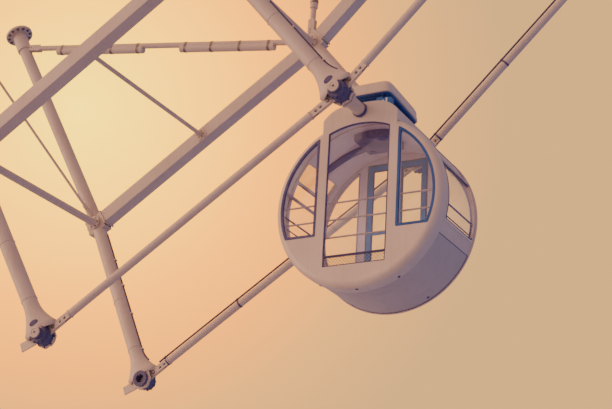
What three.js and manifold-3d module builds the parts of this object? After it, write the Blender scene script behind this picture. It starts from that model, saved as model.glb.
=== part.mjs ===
// A round passenger cabin hung by its axle in a two-bay section of a ferris wheel's twin rim.
// Millimetres, +Z up. X runs along the wheel's plane and Y along the wheel's and the cabin's axle.
// The wheel section is laid out round the middle of the cabin's axle, then moved so that the
// origin is on the face of the hub-side flange that holds it.
import * as THREE from "three";
import { mergeVertices } from "three/addons/utils/BufferGeometryUtils.js";
import Module from "manifold-3d";

const wasm = await Module();
wasm.setup();

// Fit and tessellation
const gap = 0.3; // between pieces that touch
const paneGap = 0.6; // round a pane with a curved edge
const runningGap = 0.6; // round a pin or an axle that turns
const drumFacets = 56;
const tubeFacets = 14;
const axleFacets = 32;
const arcFacets = 10;
const beyond = 800; // how far a cutting tool reaches past the middle of what it cuts
const overrun = 10; // how far a tool or a joined piece runs past a face

// Wheel
const cabinCount = 32;
const baySpacing = 4700; // between neighbouring cabin axles
const stationAngle = -50.8; // degrees, where the cabin hangs on the wheel, from +X
const rimHalfGap = 1095; // from the middle plane to each rim
const ringHalfGap = 1410;
const ringInset = 2843; // from the cabin axles' circle in to the ring beams
const innerInset = 6670; // from the cabin axles' circle in to the spokes' hub-side flanges
const innerHalfGap = 1105;
const bayAngle = 360 / cabinCount;
const pitchRadius = baySpacing / 2 / Math.sin(THREE.MathUtils.degToRad(bayAngle / 2));

// Rim members
const rimTubeRadius = 50;
const rimTubeEnd = 430; // from the node's centre to the tube's end
const splice = { width: 96, thickness: 12, inner: 212, overlap: 60 };
const gusset = { reach: 345, width: 120, thickness: 20 };
const strip = { radius: 14, offset: 74, end: 120, clipRadius: 10 };
const armRadius = 108;
const node = { halfWidth: 235, halfDepth: 118, flareLength: 560, shoulder: 120, below: 66, footWidth: 125 };
const bead = { proud: 6, half: 20 }; // the welded collar where a flare meets its arm
const hubCap = { radius: 69, proud: 60 };
const bearing = { radius: 155, housing: 125, inner: 936, thickness: 40 };
const beamSize = 200;
const ringBlock = { size: 270, depth: 230, spare: 60 };
const spokeRadius = 92;
const neck = { radius: 110, overlap: 60 }; // the thicker last stretch of a spoke
const flange = { radius: 210, thickness: 40 };
const brace = { radius: 42, battenRadius: 58, drop: 62, lift: 90, back: 320 };
const lug = { length: 200, width: 110, thickness: 60 };
const battenSpans = [[0.08, 0.42], [0.56, 0.9]]; // shares of a brace's length
const crossRadius = 54;
const midStrutRadius = 30;
const tieRod = { radius: 20, back: 160 }; // back from the hub-side end of the spoke

// Cabin drum
const drumDrop = 1142; // from the axle down to the drum's centre
const faceY = 564; // front and rear faces
const shell = 30; // wall thickness
const dishRadius = 1072;
const barrelRadius = 1055;
const frontRimY = -352; // where the front dish ends and the barrel starts
const rearRimY = 520;
const frontRounding = 84;
const rearRounding = 36;
const roofAngle = 35; // from the horizontal through the drum's centre
const bellyAngle = -25;

// Cabin openings
const centreHalf = 400;
const archRadius = 978;
const sillDrop = 1936;
const meshTop = 1810;
const sideWindowX = 517;
const sideWindowRadius = 996;
const sideWindowSill = 1540;
const barrelWindow = { low: -15, high: 25, front: -300, rear: 465 };
const glassThickness = 8;
const glassDepth = 12; // how far the glass lies behind the outer face
const floorTop = 1950;
const fasciaBottom = -420;
const vent = { behind: 8, thickness: 12, border: 16, bars: 12, barHalf: 3, barInset: 3 };

// Cabin roof
const roof = { halfWidth: 494, edgeZ: 14, crownZ: 103, skin: 20 };
const louvre = { low: 300, high: 362, front: -430, rear: 345, slope: 50, top: 221 };
const cap = { halfWidth: 398, topHalfWidth: 300, front: -470, rear: 380, top: 423, slope: 60 };
const capCheek = { height: 70, lean: 6, bulge: 25 };
const axleRadius = 68;
const axleEnd = 1190;
const collar = { radius: 88, length: 26 };

// Cabin fittings
const ceilingUnit = { halfWidth: 235, front: -235, rear: 211, bottom: -236 };
const trunking = { depth: 60, front: 120, rear: 230, low: 38 };
const guard = { radius: 11, y: -505, heights: [-1128, -1340], lowHeight: -1560, halfSpan: 880 };
const guardFlat = { half: 15, past: 40 };
const sideRail = { radius: 17, lowRadius: 12, tieRadius: 9, angles: [-4, -12], reach: 1003 };

// Doors
const leaf = { clearance: 5, sillClearance: 8, meeting: 3, top: 235, inner: 527, outer: 561 };
const leafRail = { stile: 62, top: 68, bottom: 110, glassBehind: 20 };
const pushBar = { z: -1150, half: 20, thickness: 12 };
const hinge = { x: 412, y: 588, pin: 8, knuckle: 16, half: 34, lug: 12, heights: [-450, -1720] };
const hingeLug = { inner: 8, outer: 22, proud: 12 };
const hingeTab = { shy: 2, depth: 34, back: 6, root: 4 };

const paint = material(0xd3ab99, 0.45, 0.1);
const steelPaint = material(0xc79f8d, 0.5, 0.2);
const shade = material(0x8a7783, 0.55, 0.1);
const darkTrim = material(0x2b3f66, 0.5, 0.2);
const darkSteel = material(0x4a4058, 0.5, 0.6);
const glassLook = material(0xc9b7a4, 0.1, 0.0);
const floorLook = material(0x5d5660, 0.8, 0.0);

function material(color, roughness, metalness) {
  return new THREE.MeshStandardMaterial({ color, roughness, metalness });
}

// A three.js geometry as a solid, turned right side out if its profile ran the other way.
function solid(geometry, matrix) {
  const bare = geometry.index ? geometry.toNonIndexed() : geometry.clone();
  bare.deleteAttribute("normal");
  bare.deleteAttribute("uv");
  if (matrix) bare.applyMatrix4(matrix);
  const merged = mergeVertices(bare, 1e-3);
  const triVerts = new Uint32Array(merged.index.array);
  const vertProperties = merged.attributes.position.array;
  const made = new wasm.Manifold(new wasm.Mesh({ numProp: 3, vertProperties, triVerts }));
  if (made.volume() > 0) return made;
  for (let i = 0; i < triVerts.length; i += 3) {
    [triVerts[i + 1], triVerts[i + 2]] = [triVerts[i + 2], triVerts[i + 1]];
  }
  return new wasm.Manifold(new wasm.Mesh({ numProp: 3, vertProperties, triVerts }));
}

function join(...solids) {
  return solids.reduce((all, next) => all.add(next));
}

function cut(body, ...tools) {
  return tools.reduce((left, tool) => left.subtract(tool), body);
}

function mesh(name, body, look) {
  const { vertProperties, triVerts, numProp } = body.getMesh();
  const geometry = new THREE.BufferGeometry();
  const position = new Float32Array((vertProperties.length / numProp) * 3);
  for (let i = 0; i < position.length / 3; i++) {
    position.set(vertProperties.subarray(i * numProp, i * numProp + 3), i * 3);
  }
  geometry.setAttribute("position", new THREE.BufferAttribute(position, 3));
  geometry.setIndex(new THREE.BufferAttribute(triVerts, 1));
  geometry.computeVertexNormals();
  const made = new THREE.Mesh(geometry, look);
  made.name = name;
  return made;
}

function vec(x, y, z) {
  return new THREE.Vector3(x, y, z);
}

function box(x0, x1, y0, y1, z0, z1) {
  const geometry = new THREE.BoxGeometry(x1 - x0, y1 - y0, z1 - z0);
  geometry.translate((x0 + x1) / 2, (y0 + y1) / 2, (z0 + z1) / 2);
  return solid(geometry);
}

// A matrix whose +Y runs from one point towards another, and whose +Z is as near to a side
// direction as it can be.
function along(from, to, side = vec(0, 1, 0)) {
  const y = to.clone().sub(from).normalize();
  const x = y.clone().cross(side).normalize();
  const z = x.clone().cross(y);
  return new THREE.Matrix4().makeBasis(x, y, z).setPosition(from);
}

function rod(from, to, radius, facets = tubeFacets) {
  const length = from.distanceTo(to);
  const geometry = new THREE.CylinderGeometry(radius, radius, length, facets);
  geometry.translate(0, length / 2, 0);
  return solid(geometry, along(from, to, vec(0.3, 0.5, 0.8)));
}

// A bar of rectangular section between two points: wide across Y's side direction, thick along Y.
function bar(from, to, width, thickness) {
  const length = from.distanceTo(to);
  const geometry = new THREE.BoxGeometry(width, length, thickness);
  geometry.translate(0, length / 2, 0);
  return solid(geometry, along(from, to));
}

function between(from, to, share) {
  return from.clone().lerp(to, share);
}

// A point a given distance from one point towards another.
function towards(from, to, distance) {
  return from.clone().add(to.clone().sub(from).setLength(distance));
}

// A flat outline in X and Z, pushed along Y.
function slab(outline, y0, y1) {
  const geometry = new THREE.ExtrudeGeometry(outline, {
    depth: y1 - y0,
    bevelEnabled: false,
    curveSegments: arcFacets,
  });
  const turn = new THREE.Matrix4().makeRotationX(Math.PI / 2).setPosition(0, y1, 0);
  return solid(geometry, turn);
}

// A profile of radius and Y, spun round the drum's axis.
function spun(profile, facets = drumFacets) {
  const points = profile.map(([radius, y]) => new THREE.Vector2(radius, y));
  const geometry = new THREE.LatheGeometry(points, facets);
  return solid(geometry, new THREE.Matrix4().makeTranslation(0, 0, -drumDrop));
}

function disc(radius, y0, y1) {
  return spun([[0, y0], [radius, y0], [radius, y1], [0, y1]]);
}

function ring(inner, outer, y0, y1) {
  return spun([[inner, y0], [outer, y0], [outer, y1], [inner, y1], [inner, y0]]);
}

function rounding(radius, y, size, fromAngle, toAngle, steps = 4) {
  return Array.from({ length: steps + 1 }, (_, i) => {
    const angle = THREE.MathUtils.degToRad(fromAngle + ((toAngle - fromAngle) * i) / steps);
    return [radius + size * Math.cos(angle), y + size * Math.sin(angle)];
  });
}

// A wedge of the drum between two angles from +X, for the length between two Y values.
function wedge(low, high, y0, y1) {
  const reach = 1400;
  const outline = new THREE.Shape();
  outline.moveTo(0, -drumDrop);
  const steps = Math.ceil((high - low) / 30);
  for (let i = 0; i <= steps; i++) {
    const angle = THREE.MathUtils.degToRad(low + ((high - low) * i) / steps);
    outline.lineTo(reach * Math.cos(angle), reach * Math.sin(angle) - drumDrop);
  }
  outline.closePath();
  return slab(outline, y0, y1);
}

// Half the thin seam between two wall pieces, as an angle at the barrel.
const seam = THREE.MathUtils.radToDeg(gap / 2 / barrelRadius);

// Layout of the wheel

function radial(station) {
  const angle = THREE.MathUtils.degToRad(stationAngle + station * bayAngle);
  return vec(Math.cos(angle), 0, Math.sin(angle));
}

const wheelCentre = radial(0).multiplyScalar(-pitchRadius);

function wheelPoint(station, inset, y) {
  const point = wheelCentre.clone().add(radial(station).multiplyScalar(pitchRadius - inset));
  return point.setY(y);
}

const rimNode = (station, side) => wheelPoint(station, 0, side * rimHalfGap);
const ringPoint = (station, side) => wheelPoint(station, ringInset, side * ringHalfGap);
const innerPoint = (station, side) => wheelPoint(station, innerInset, side * innerHalfGap);
const ringMiddle = (bay, side) => between(ringPoint(bay, side), ringPoint(bay + 1, side), 0.5);

// Heights along the arm and half sizes of the flared node: round under the arm's bead, widest at its
// shoulders, and drawn in again below them to leave room for the rim tubes' plates.
function nodeSections() {
  const steps = 5;
  const flare = Array.from({ length: steps + 1 }, (_, i) => {
    const share = i / steps;
    const height = THREE.MathUtils.lerp(node.flareLength, node.shoulder, share);
    const swell = share ** 1.3;
    const half = THREE.MathUtils.lerp(armRadius, node.halfWidth, swell);
    return [height, half, THREE.MathUtils.lerp(armRadius, node.halfDepth, swell)];
  });
  return [...flare, [-node.below, node.footWidth, node.halfDepth]];
}

function flaredNode(centre, armTop, tangent) {
  const up = armTop.clone().sub(centre).normalize();
  const side = tangent.clone().sub(up.clone().multiplyScalar(tangent.dot(up))).normalize();
  const depth = up.clone().cross(side);
  const facets = 16;
  const position = [];
  const index = [];
  const sections = nodeSections();
  for (const [height, half, thick] of sections) {
    for (let k = 0; k < facets; k++) {
      const angle = (2 * Math.PI * k) / facets;
      const point = centre.clone().addScaledVector(up, height);
      point.addScaledVector(side, half * Math.cos(angle));
      point.addScaledVector(depth, thick * Math.sin(angle));
      position.push(point.x, point.y, point.z);
    }
  }
  const last = (sections.length - 1) * facets;
  for (let first = 0; first < last; first += facets) {
    for (let k = 0; k < facets; k++) {
      const a = first + k;
      const b = first + ((k + 1) % facets);
      index.push(a, b, a + facets, b, b + facets, a + facets);
    }
  }
  for (let k = 1; k < facets - 1; k++) {
    index.push(0, k + 1, k, last, last + k, last + k + 1);
  }
  const geometry = new THREE.BufferGeometry();
  geometry.setAttribute("position", new THREE.Float32BufferAttribute(position, 3));
  geometry.setIndex(index);
  return solid(geometry);
}

// The block where an arm meets the ring beams.
function ringJoint(station, side) {
  const centre = ringPoint(station, side);
  const half = radial(station).multiplyScalar(ringBlock.size / 2);
  return bar(centre.clone().sub(half), centre.clone().add(half), ringBlock.size, ringBlock.depth);
}

function spokeWithFlange(station, side) {
  const end = innerPoint(station, side);
  const inwards = radial(station).negate();
  const back = end.clone().addScaledVector(inwards, -flange.thickness);
  const shaftEnd = end.clone().addScaledVector(inwards, -brace.back);
  const neckStart = shaftEnd.clone().addScaledVector(inwards, -neck.overlap);
  return join(
    rod(ringPoint(station, side), shaftEnd, spokeRadius),
    rod(neckStart, back, neck.radius),
    rod(back, end, flange.radius, 16),
  );
}

// An arm from its flared rim node up to the ring, with its spoke where the wheel has one.
function arm(station, side) {
  const centre = rimNode(station, side);
  const top = ringPoint(station, side);
  const tangent = vec(0, 1, 0).cross(radial(station));
  const flareTop = towards(centre, top, node.flareLength);
  const outer = side * (rimHalfGap + node.halfDepth + hubCap.proud);
  const housingEnd = side * (bearing.inner + bearing.thickness + gap);
  const beadStart = towards(centre, top, node.flareLength - bead.half);
  const beadEnd = towards(centre, top, node.flareLength + bead.half);
  const body = join(
    flaredNode(centre, top, tangent),
    rod(towards(centre, top, node.flareLength - overrun), top, armRadius),
    rod(beadStart, beadEnd, armRadius + bead.proud),
    ringJoint(station, side),
    rod(centre.clone().setY(outer), centre, hubCap.radius),
    rod(centre.clone().setY(2 * centre.y - housingEnd), centre.clone().setY(housingEnd), bearing.housing),
    gussets(station, side),
  );
  if (station !== 0) {
    const [ringEnd, spokeEnd] = braceEnds(station, side);
    return join(body, spokeWithFlange(station, side), braceLug(spokeEnd, ringEnd));
  }
  const lugs = [-1, 1].map((next) => braceLug(...braceEnds(next, side)));
  return cut(join(body, ...lugs), axleBore(side));
}

// Where the axle turns in a rim's middle node and in its bearing flange.
function axleBore(side) {
  const ends = [side * (axleEnd + overrun), side * (faceY + collar.length)];
  return rod(vec(0, ends[0], 0), vec(0, ends[1], 0), axleRadius + runningGap, axleFacets);
}

// Fins on the node that the rim tubes' splice plates bolt on to.
function gussets(station, side) {
  const centre = rimNode(station, side);
  const ends = [station - 1, station + 1].map((next) => towards(centre, rimNode(next, side), gusset.reach));
  return join(...ends.map((end) => bar(centre, end, gusset.width, gusset.thickness)));
}

// A rim tube between two nodes, with a pair of splice plates at each end.
function rimTube(bay, side) {
  const [a, b] = [rimNode(bay, side), rimNode(bay + 1, side)];
  const offset = gusset.thickness / 2 + gap + splice.thickness / 2;
  const plates = [[a, b], [b, a]].flatMap(([from, to]) => [-1, 1].map((face) => {
    const shift = vec(0, face * offset, 0);
    const start = towards(from, to, splice.inner).add(shift);
    const end = towards(from, to, rimTubeEnd + splice.overlap).add(shift);
    return bar(start, end, splice.width, splice.thickness);
  }));
  return join(rod(towards(a, b, rimTubeEnd), towards(b, a, rimTubeEnd), rimTubeRadius), ...plates);
}

// The far rim's light strip, on collars, on the side that faces the cabin.
function stripOn(bay, side) {
  const shift = vec(0, -side * strip.offset, 0);
  const [a, b] = [rimNode(bay, side), rimNode(bay + 1, side)];
  const start = towards(a, b, rimTubeEnd + strip.end);
  const end = towards(b, a, rimTubeEnd + strip.end);
  const clips = [0.02, 0.25, 0.5, 0.75, 0.98].map((share) => {
    const at = between(start, end, share);
    return rod(at, at.clone().add(shift), strip.clipRadius, 6);
  });
  return join(rod(start.clone().add(shift), end.clone().add(shift), strip.radius, 8), ...clips);
}

function ringBeam(bay, side) {
  const [a, b] = [ringPoint(bay, side), ringPoint(bay + 1, side)];
  const beam = bar(a, b, beamSize, beamSize);
  return cut(beam, ringJointClearance(bay, side), ringJointClearance(bay + 1, side));
}

function ringJointClearance(station, side) {
  const centre = ringPoint(station, side);
  const half = radial(station).multiplyScalar(ringBlock.size / 2 + ringBlock.spare);
  const reach = ringBlock.size + 2 * gap;
  return bar(centre.clone().sub(half), centre.clone().add(half), reach, ringBlock.depth + ringBlock.spare);
}

// A diagonal from the ring over station 0 to a spoke's hub-side end, with two light battens under it.
function planeBrace(station, side) {
  const [from, to] = braceEnds(station, side);
  const start = towards(from, to, lug.length + gap);
  const end = towards(to, from, lug.length + gap);
  const drop = vec(0, 0, -brace.drop);
  const battens = battenSpans.map(([low, high]) =>
    rod(between(start, end, low).add(drop), between(start, end, high).add(drop), brace.battenRadius, 10),
  );
  return join(rod(start, end, brace.radius, 10), ...battens);
}

// A diagonal runs from just inside the ring joint over station 0 to the neck of a spoke.
function braceEnds(station, side) {
  const from = ringPoint(0, side).addScaledVector(radial(0), -brace.lift);
  const to = innerPoint(station, side).addScaledVector(radial(station), brace.back);
  return [from, to];
}

// A lug that a diagonal bolts on to, at its ring end or its spoke end.
function braceLug(from, to) {
  return bar(from, towards(from, to, lug.length), lug.width, lug.thickness);
}

function crossMember(station) {
  const end = ringHalfGap - ringBlock.depth / 2 - gap;
  return rod(wheelPoint(station, ringInset, -end), wheelPoint(station, ringInset, end), crossRadius);
}

function midStrut(bay) {
  const end = ringHalfGap - beamSize / 2 - gap;
  return rod(ringMiddle(bay, -1).setY(-end), ringMiddle(bay, 1).setY(end), midStrutRadius, 12);
}

// A thin tie from the far ring joint across to the neck of the near spoke, cut clear of both
// spokes and of the joint.
function crossTie(station) {
  const from = ringPoint(station, 1);
  const end = innerPoint(station, -1);
  const outwards = radial(station);
  const to = end.clone().addScaledVector(outwards, tieRod.back);
  const neckTool = rod(end.clone().addScaledVector(outwards, beyond), end, neck.radius + gap);
  const spokeTool = rod(from, braceEnds(station, 1)[1], spokeRadius + gap);
  return cut(rod(from, to, tieRod.radius, 10), ringJointTool(station, 1), spokeTool, neckTool);
}

// The ring joint's block with the gap that touching pieces keep to it.
function ringJointTool(station, side) {
  const centre = ringPoint(station, side);
  const half = radial(station).multiplyScalar(ringBlock.size / 2 + gap);
  const size = ringBlock.size + 2 * gap;
  return bar(centre.clone().sub(half), centre.clone().add(half), size, ringBlock.depth + 2 * gap);
}

// The bolted bearing cover on the cabin's side of a rim node.
function bearingFlange(side) {
  const inner = vec(0, side * bearing.inner, 0);
  const outer = vec(0, side * (bearing.inner + bearing.thickness), 0);
  return cut(rod(inner, outer, bearing.radius, 24), axleBore(side));
}

// Cabin drum

function frontDish() {
  const inside = frontRounding - shell;
  const cornerR = dishRadius - frontRounding;
  const cornerY = -faceY + frontRounding;
  return spun([
    [0, -faceY],
    ...rounding(cornerR, cornerY, frontRounding, -90, 0),
    [dishRadius, frontRimY],
    [dishRadius - shell, frontRimY],
    ...rounding(cornerR, cornerY, inside, 0, -90, 3),
    [0, -faceY + shell],
  ]);
}

function rearDish() {
  const cornerR = dishRadius - rearRounding;
  const cornerY = faceY - rearRounding;
  return spun([
    [0, faceY - shell],
    [cornerR, faceY - shell],
    [dishRadius - shell, rearRimY + 6],
    [dishRadius - shell, rearRimY],
    [dishRadius, rearRimY],
    ...rounding(cornerR, cornerY, rearRounding, 0, 90),
    [0, faceY],
  ]);
}

// The roof unit's outline: upright cheeks and a low crowned top.
function roofOutline(inset, bottom) {
  const half = roof.halfWidth - inset;
  const outline = new THREE.Shape();
  outline.moveTo(-half, bottom);
  outline.lineTo(half, bottom);
  outline.lineTo(half, roof.edgeZ - inset);
  outline.quadraticCurveTo(half * 0.5, roof.crownZ - inset, 0, roof.crownZ - inset);
  outline.quadraticCurveTo(-half * 0.5, roof.crownZ - inset, -half, roof.edgeZ - inset);
  outline.closePath();
  return outline;
}

// The boarding side's and viewing side's middle opening, arched on the viewing side.
function centreOpening(inset, bottom) {
  const half = centreHalf - inset;
  const radius = archRadius - inset;
  const spring = Math.asin(half / radius);
  const outline = new THREE.Shape();
  outline.moveTo(-half, -bottom + inset);
  outline.lineTo(half, -bottom + inset);
  outline.absarc(0, -drumDrop, radius, Math.PI / 2 - spring, Math.PI / 2 + spring, false);
  outline.closePath();
  return outline;
}

// A face's side window: straight post edge and sill, and an arc along the drum's rim.
function faceWindow(side, inset) {
  const radius = sideWindowRadius - inset;
  const x = sideWindowX + inset;
  const low = Math.asin((drumDrop - sideWindowSill + inset) / radius);
  const high = Math.acos(x / radius);
  const outline = new THREE.Shape();
  outline.moveTo(side * x, -sideWindowSill + inset);
  outline.lineTo(side * radius * Math.cos(low), -sideWindowSill + inset);
  if (side > 0) outline.absarc(0, -drumDrop, radius, low, high, false);
  else outline.absarc(0, -drumDrop, radius, Math.PI - low, Math.PI - high, true);
  outline.closePath();
  return outline;
}

const axleHole = () => rod(vec(0, -beyond, 0), vec(0, beyond, 0), axleRadius + gap, axleFacets);

function frontWall() {
  const fascia = slab(roofOutline(0, fasciaBottom), -faceY, -faceY + shell);
  const [y0, y1] = [-beyond, -faceY + 2 * shell];
  return cut(
    join(frontDish(), fascia),
    slab(centreOpening(0, sillDrop), y0, y1),
    slab(faceWindow(1, 0), y0, y1),
    slab(faceWindow(-1, 0), y0, y1),
    axleHole(),
  );
}

// The boarding side, with the lugs and pins that the two door leaves hang on.
function rearWall() {
  const fascia = slab(roofOutline(0, fasciaBottom), faceY - shell, faceY);
  const [y0, y1] = [faceY - 2 * shell, beyond];
  const wall = cut(
    join(rearDish(), fascia),
    box(-centreHalf, centreHalf, y0, y1, -sillDrop, -leaf.top),
    slab(faceWindow(1, 0), y0, y1),
    slab(faceWindow(-1, 0), y0, y1),
    axleHole(),
  );
  return join(wall, ...[-1, 1].flatMap((side) => hinge.heights.map((z) => hingeLugs(side, z))));
}

function hingeLugs(side, z) {
  const x = side * hinge.x;
  const [low, high] = [hinge.x - hingeLug.inner, hinge.x + hingeLug.outer];
  const lugs = [z - hinge.half - hinge.lug, z + hinge.half].map((bottom) =>
    leafBox(side, low, high, faceY - hingeTab.root, hinge.y + hingeLug.proud, bottom, bottom + hinge.lug),
  );
  const reach = hinge.half + hinge.lug / 2;
  return join(...lugs, rod(vec(x, hinge.y, z - reach), vec(x, hinge.y, z + reach), hinge.pin, axleFacets));
}

const barrel = () => ring(barrelRadius - shell, barrelRadius, frontRimY + gap, rearRimY - gap);

function barrelPiece(low, high) {
  return barrel().intersect(wedge(low + seam, high - seam, -beyond, beyond));
}

function sideWall(side) {
  const [low, high] = [bellyAngle, roofAngle];
  const place = (a, b) => (side > 0 ? [a, b] : [180 - b, 180 - a]);
  const window = wedge(...place(barrelWindow.low, barrelWindow.high), barrelWindow.front, barrelWindow.rear);
  return cut(barrelPiece(...place(low, high)), window);
}

function sideGlass(side) {
  const trim = THREE.MathUtils.radToDeg(gap / (barrelRadius - shell));
  const [low, high] = [barrelWindow.low + trim, barrelWindow.high - trim];
  const outer = barrelRadius - glassDepth;
  const [a, b] = side > 0 ? [low, high] : [180 - high, 180 - low];
  const sheet = ring(outer - glassThickness, outer, barrelWindow.front + gap, barrelWindow.rear - gap);
  return sheet.intersect(wedge(a, b, -beyond, beyond));
}

function faceGlass(outline, y) {
  const outer = Math.sign(y) * (faceY - glassDepth);
  const inner = outer - Math.sign(y) * glassThickness;
  return slab(outline, Math.min(outer, inner), Math.max(outer, inner));
}

function floorPanel() {
  const inside = faceY - shell - gap;
  const sheet = box(-beyond, beyond, -inside, inside, -floorTop - shell, -floorTop);
  return sheet.intersect(disc(barrelRadius - shell - gap, -beyond, beyond)).intersect(dishRoom());
}

// The space inside the front dish, less the gap that fittings keep to it.
function dishRoom() {
  const inside = frontRounding - shell - gap;
  const corner = rounding(dishRadius - frontRounding, -faceY + frontRounding, inside, -90, 0, 3);
  const start = -faceY + shell + gap;
  return spun([[0, start], ...corner, [dishRadius - shell - gap, beyond], [0, beyond]]);
}

// A woven mesh set in a frame below the viewing window, drawn here as a frame with upright bars.
function ventPanel() {
  const half = centreHalf - gap;
  const [y0, y1] = [-faceY + vent.behind, -faceY + vent.behind + vent.thickness];
  const [z0, z1] = [-sillDrop + gap, -meshTop - gap];
  const clear = half - vent.border;
  const pitch = (2 * clear) / (vent.bars + 1);
  const frame = cut(
    box(-half, half, y0, y1, z0, z1),
    box(-clear, clear, y0 - overrun, y1 + overrun, z0 + vent.border, z1 - vent.border),
  );
  const [barY0, barY1] = [y0 + vent.barInset, y1 - vent.barInset];
  const uprights = Array.from({ length: vent.bars }, (_, i) => {
    const x = -clear + pitch * (i + 1);
    return box(x - vent.barHalf, x + vent.barHalf, barY0, barY1, z0 + overrun, z1 - overrun);
  });
  return join(frame, ...uprights);
}

function guardRails() {
  const wallY = -faceY + shell + gap;
  const span = (z, half) => rod(vec(-half, guard.y, z), vec(half, guard.y, z), guard.radius, 12);
  const postX = (centreHalf + sideWindowX) / 2;
  const [z0, z1] = [guard.lowHeight - guardFlat.past, guard.heights[0] + guardFlat.past];
  const flats = [-postX, postX].map((x) =>
    box(x - guardFlat.half, x + guardFlat.half, wallY, guard.y + guard.radius / 2, z0, z1),
  );
  return join(
    ...flats,
    ...guard.heights.map((z) => span(z, guard.halfSpan)),
    span(guard.lowHeight, postX + guardFlat.half),
  );
}

// Two rails along a barrel window, held between the front and rear faces and tied by short uprights.
function sideGuard(side) {
  const end = faceY - shell - gap;
  const at = (angle, y) => {
    const turn = THREE.MathUtils.degToRad(angle);
    return vec(side * sideRail.reach * Math.cos(turn), y, sideRail.reach * Math.sin(turn) - drumDrop);
  };
  const [high, low] = sideRail.angles;
  const ties = [-end + 4 * shell, end - shell].map((y) => rod(at(high, y), at(low, y), sideRail.tieRadius, 8));
  const rails = join(
    rod(at(high, -end), at(high, end), sideRail.radius, 10),
    rod(at(low, -end), at(low, end), sideRail.lowRadius, 10),
    ...ties,
  );
  return rails.intersect(dishRoom());
}

// Cabin roof

const drumHull = () =>
  join(
    disc(dishRadius + gap, -faceY, frontRimY + gap),
    disc(barrelRadius + gap, -faceY, faceY),
    disc(dishRadius + gap, rearRimY - gap, faceY),
  );

// Cheeks and crowned top between the two faces, open over the drum, with the axle running through.
function roofHousing() {
  const end = faceY - shell - gap;
  const outside = slab(roofOutline(0, fasciaBottom), -end, end);
  const inside = slab(roofOutline(roof.skin, fasciaBottom - overrun), -end - overrun, end + overrun);
  return cut(outside, inside, drumHull());
}

// A flat-faced block whose ends and sides can lean: outlines across X and across Y, both pushed
// through.
function leaningBlock(z0, z1, low, high, front, rear, slope) {
  const across = new THREE.Shape();
  across.moveTo(-low, z0);
  across.lineTo(low, z0);
  across.lineTo(high, z1);
  across.lineTo(-high, z1);
  across.closePath();
  return slab(across, front, rear).intersect(endsOf(z0, z1, front, rear, slope));
}

function endsOf(z0, z1, front, rear, slope) {
  const [lowIn, highIn] = slope > 0 ? [slope, 0] : [0, -slope];
  const side = new THREE.Shape();
  side.moveTo(front + lowIn, z0);
  side.lineTo(rear - lowIn, z0);
  side.lineTo(rear - highIn, z1);
  side.lineTo(front + highIn, z1);
  side.closePath();
  const geometry = new THREE.ExtrudeGeometry(side, { depth: 2 * beyond, bevelEnabled: false });
  const turn = new THREE.Matrix4().makeBasis(vec(0, 1, 0), vec(0, 0, 1), vec(1, 0, 0));
  return solid(geometry, turn.setPosition(-beyond, 0, 0));
}

function louvreBand() {
  const { low, high, front, rear, slope } = louvre;
  const block = leaningBlock(0, louvre.top, low, high, front, rear, slope);
  return cut(block, slab(roofOutline(-gap, fasciaBottom), -beyond, beyond));
}

function roofCap() {
  const z0 = louvre.top + gap;
  const across = new THREE.Shape();
  across.moveTo(-cap.halfWidth, z0);
  across.lineTo(cap.halfWidth, z0);
  across.lineTo(cap.halfWidth - capCheek.lean, z0 + capCheek.height);
  across.quadraticCurveTo(cap.halfWidth - capCheek.bulge, cap.top, cap.topHalfWidth, cap.top);
  across.lineTo(-cap.topHalfWidth, cap.top);
  const foot = [capCheek.lean - cap.halfWidth, z0 + capCheek.height];
  across.quadraticCurveTo(-cap.halfWidth + capCheek.bulge, cap.top, ...foot);
  across.closePath();
  return slab(across, cap.front, cap.rear).intersect(endsOf(z0, cap.top, cap.front, cap.rear, -cap.slope));
}

function axle() {
  const collars = [-1, 1].map((side) =>
    rod(vec(0, side * (faceY + gap), 0), vec(0, side * (faceY + collar.length), 0), collar.radius, 24),
  );
  return join(rod(vec(0, -axleEnd, 0), vec(0, axleEnd, 0), axleRadius, axleFacets), ...collars);
}

// Ceiling unit with the flat duct that runs from it down the left side.
function ceilingFitting() {
  const inner = barrelRadius - shell - gap;
  const { halfWidth, front, rear, bottom } = ceilingUnit;
  const unit = box(-halfWidth, halfWidth, front, rear, bottom, 0);
  const duct = ring(inner - trunking.depth, inner, trunking.front, trunking.rear);
  const reach = wedge(90, 180 - trunking.low, -beyond, beyond);
  return join(unit.intersect(disc(inner, -beyond, beyond)), duct.intersect(reach));
}

// Doors

function leafBox(side, inner, outer, y0, y1, z0, z1) {
  return side > 0 ? box(inner, outer, y0, y1, z0, z1) : box(-outer, -inner, y0, y1, z0, z1);
}

function leafFrame(side) {
  const inner = leaf.meeting;
  const outer = centreHalf - leaf.clearance;
  const [z0, z1] = [-sillDrop + leaf.sillClearance, -leaf.top - leaf.clearance];
  const [clearIn, clearOut] = [inner + leafRail.stile, outer - leafRail.stile];
  const frame = cut(
    leafBox(side, inner, outer, leaf.inner, leaf.outer, z0, z1),
    leafBox(side, clearIn, clearOut, 0, beyond, z0 + leafRail.bottom, z1 - leafRail.top),
  );
  const barEnd = leaf.inner + pushBar.thickness;
  const [barLow, barHigh] = [pushBar.z - pushBar.half, pushBar.z + pushBar.half];
  const bar = leafBox(side, clearIn - overrun, clearOut + overrun, leaf.inner, barEnd, barLow, barHigh);
  return join(frame, bar, ...hinge.heights.map((z) => hingeKnuckle(side, z)));
}

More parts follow.
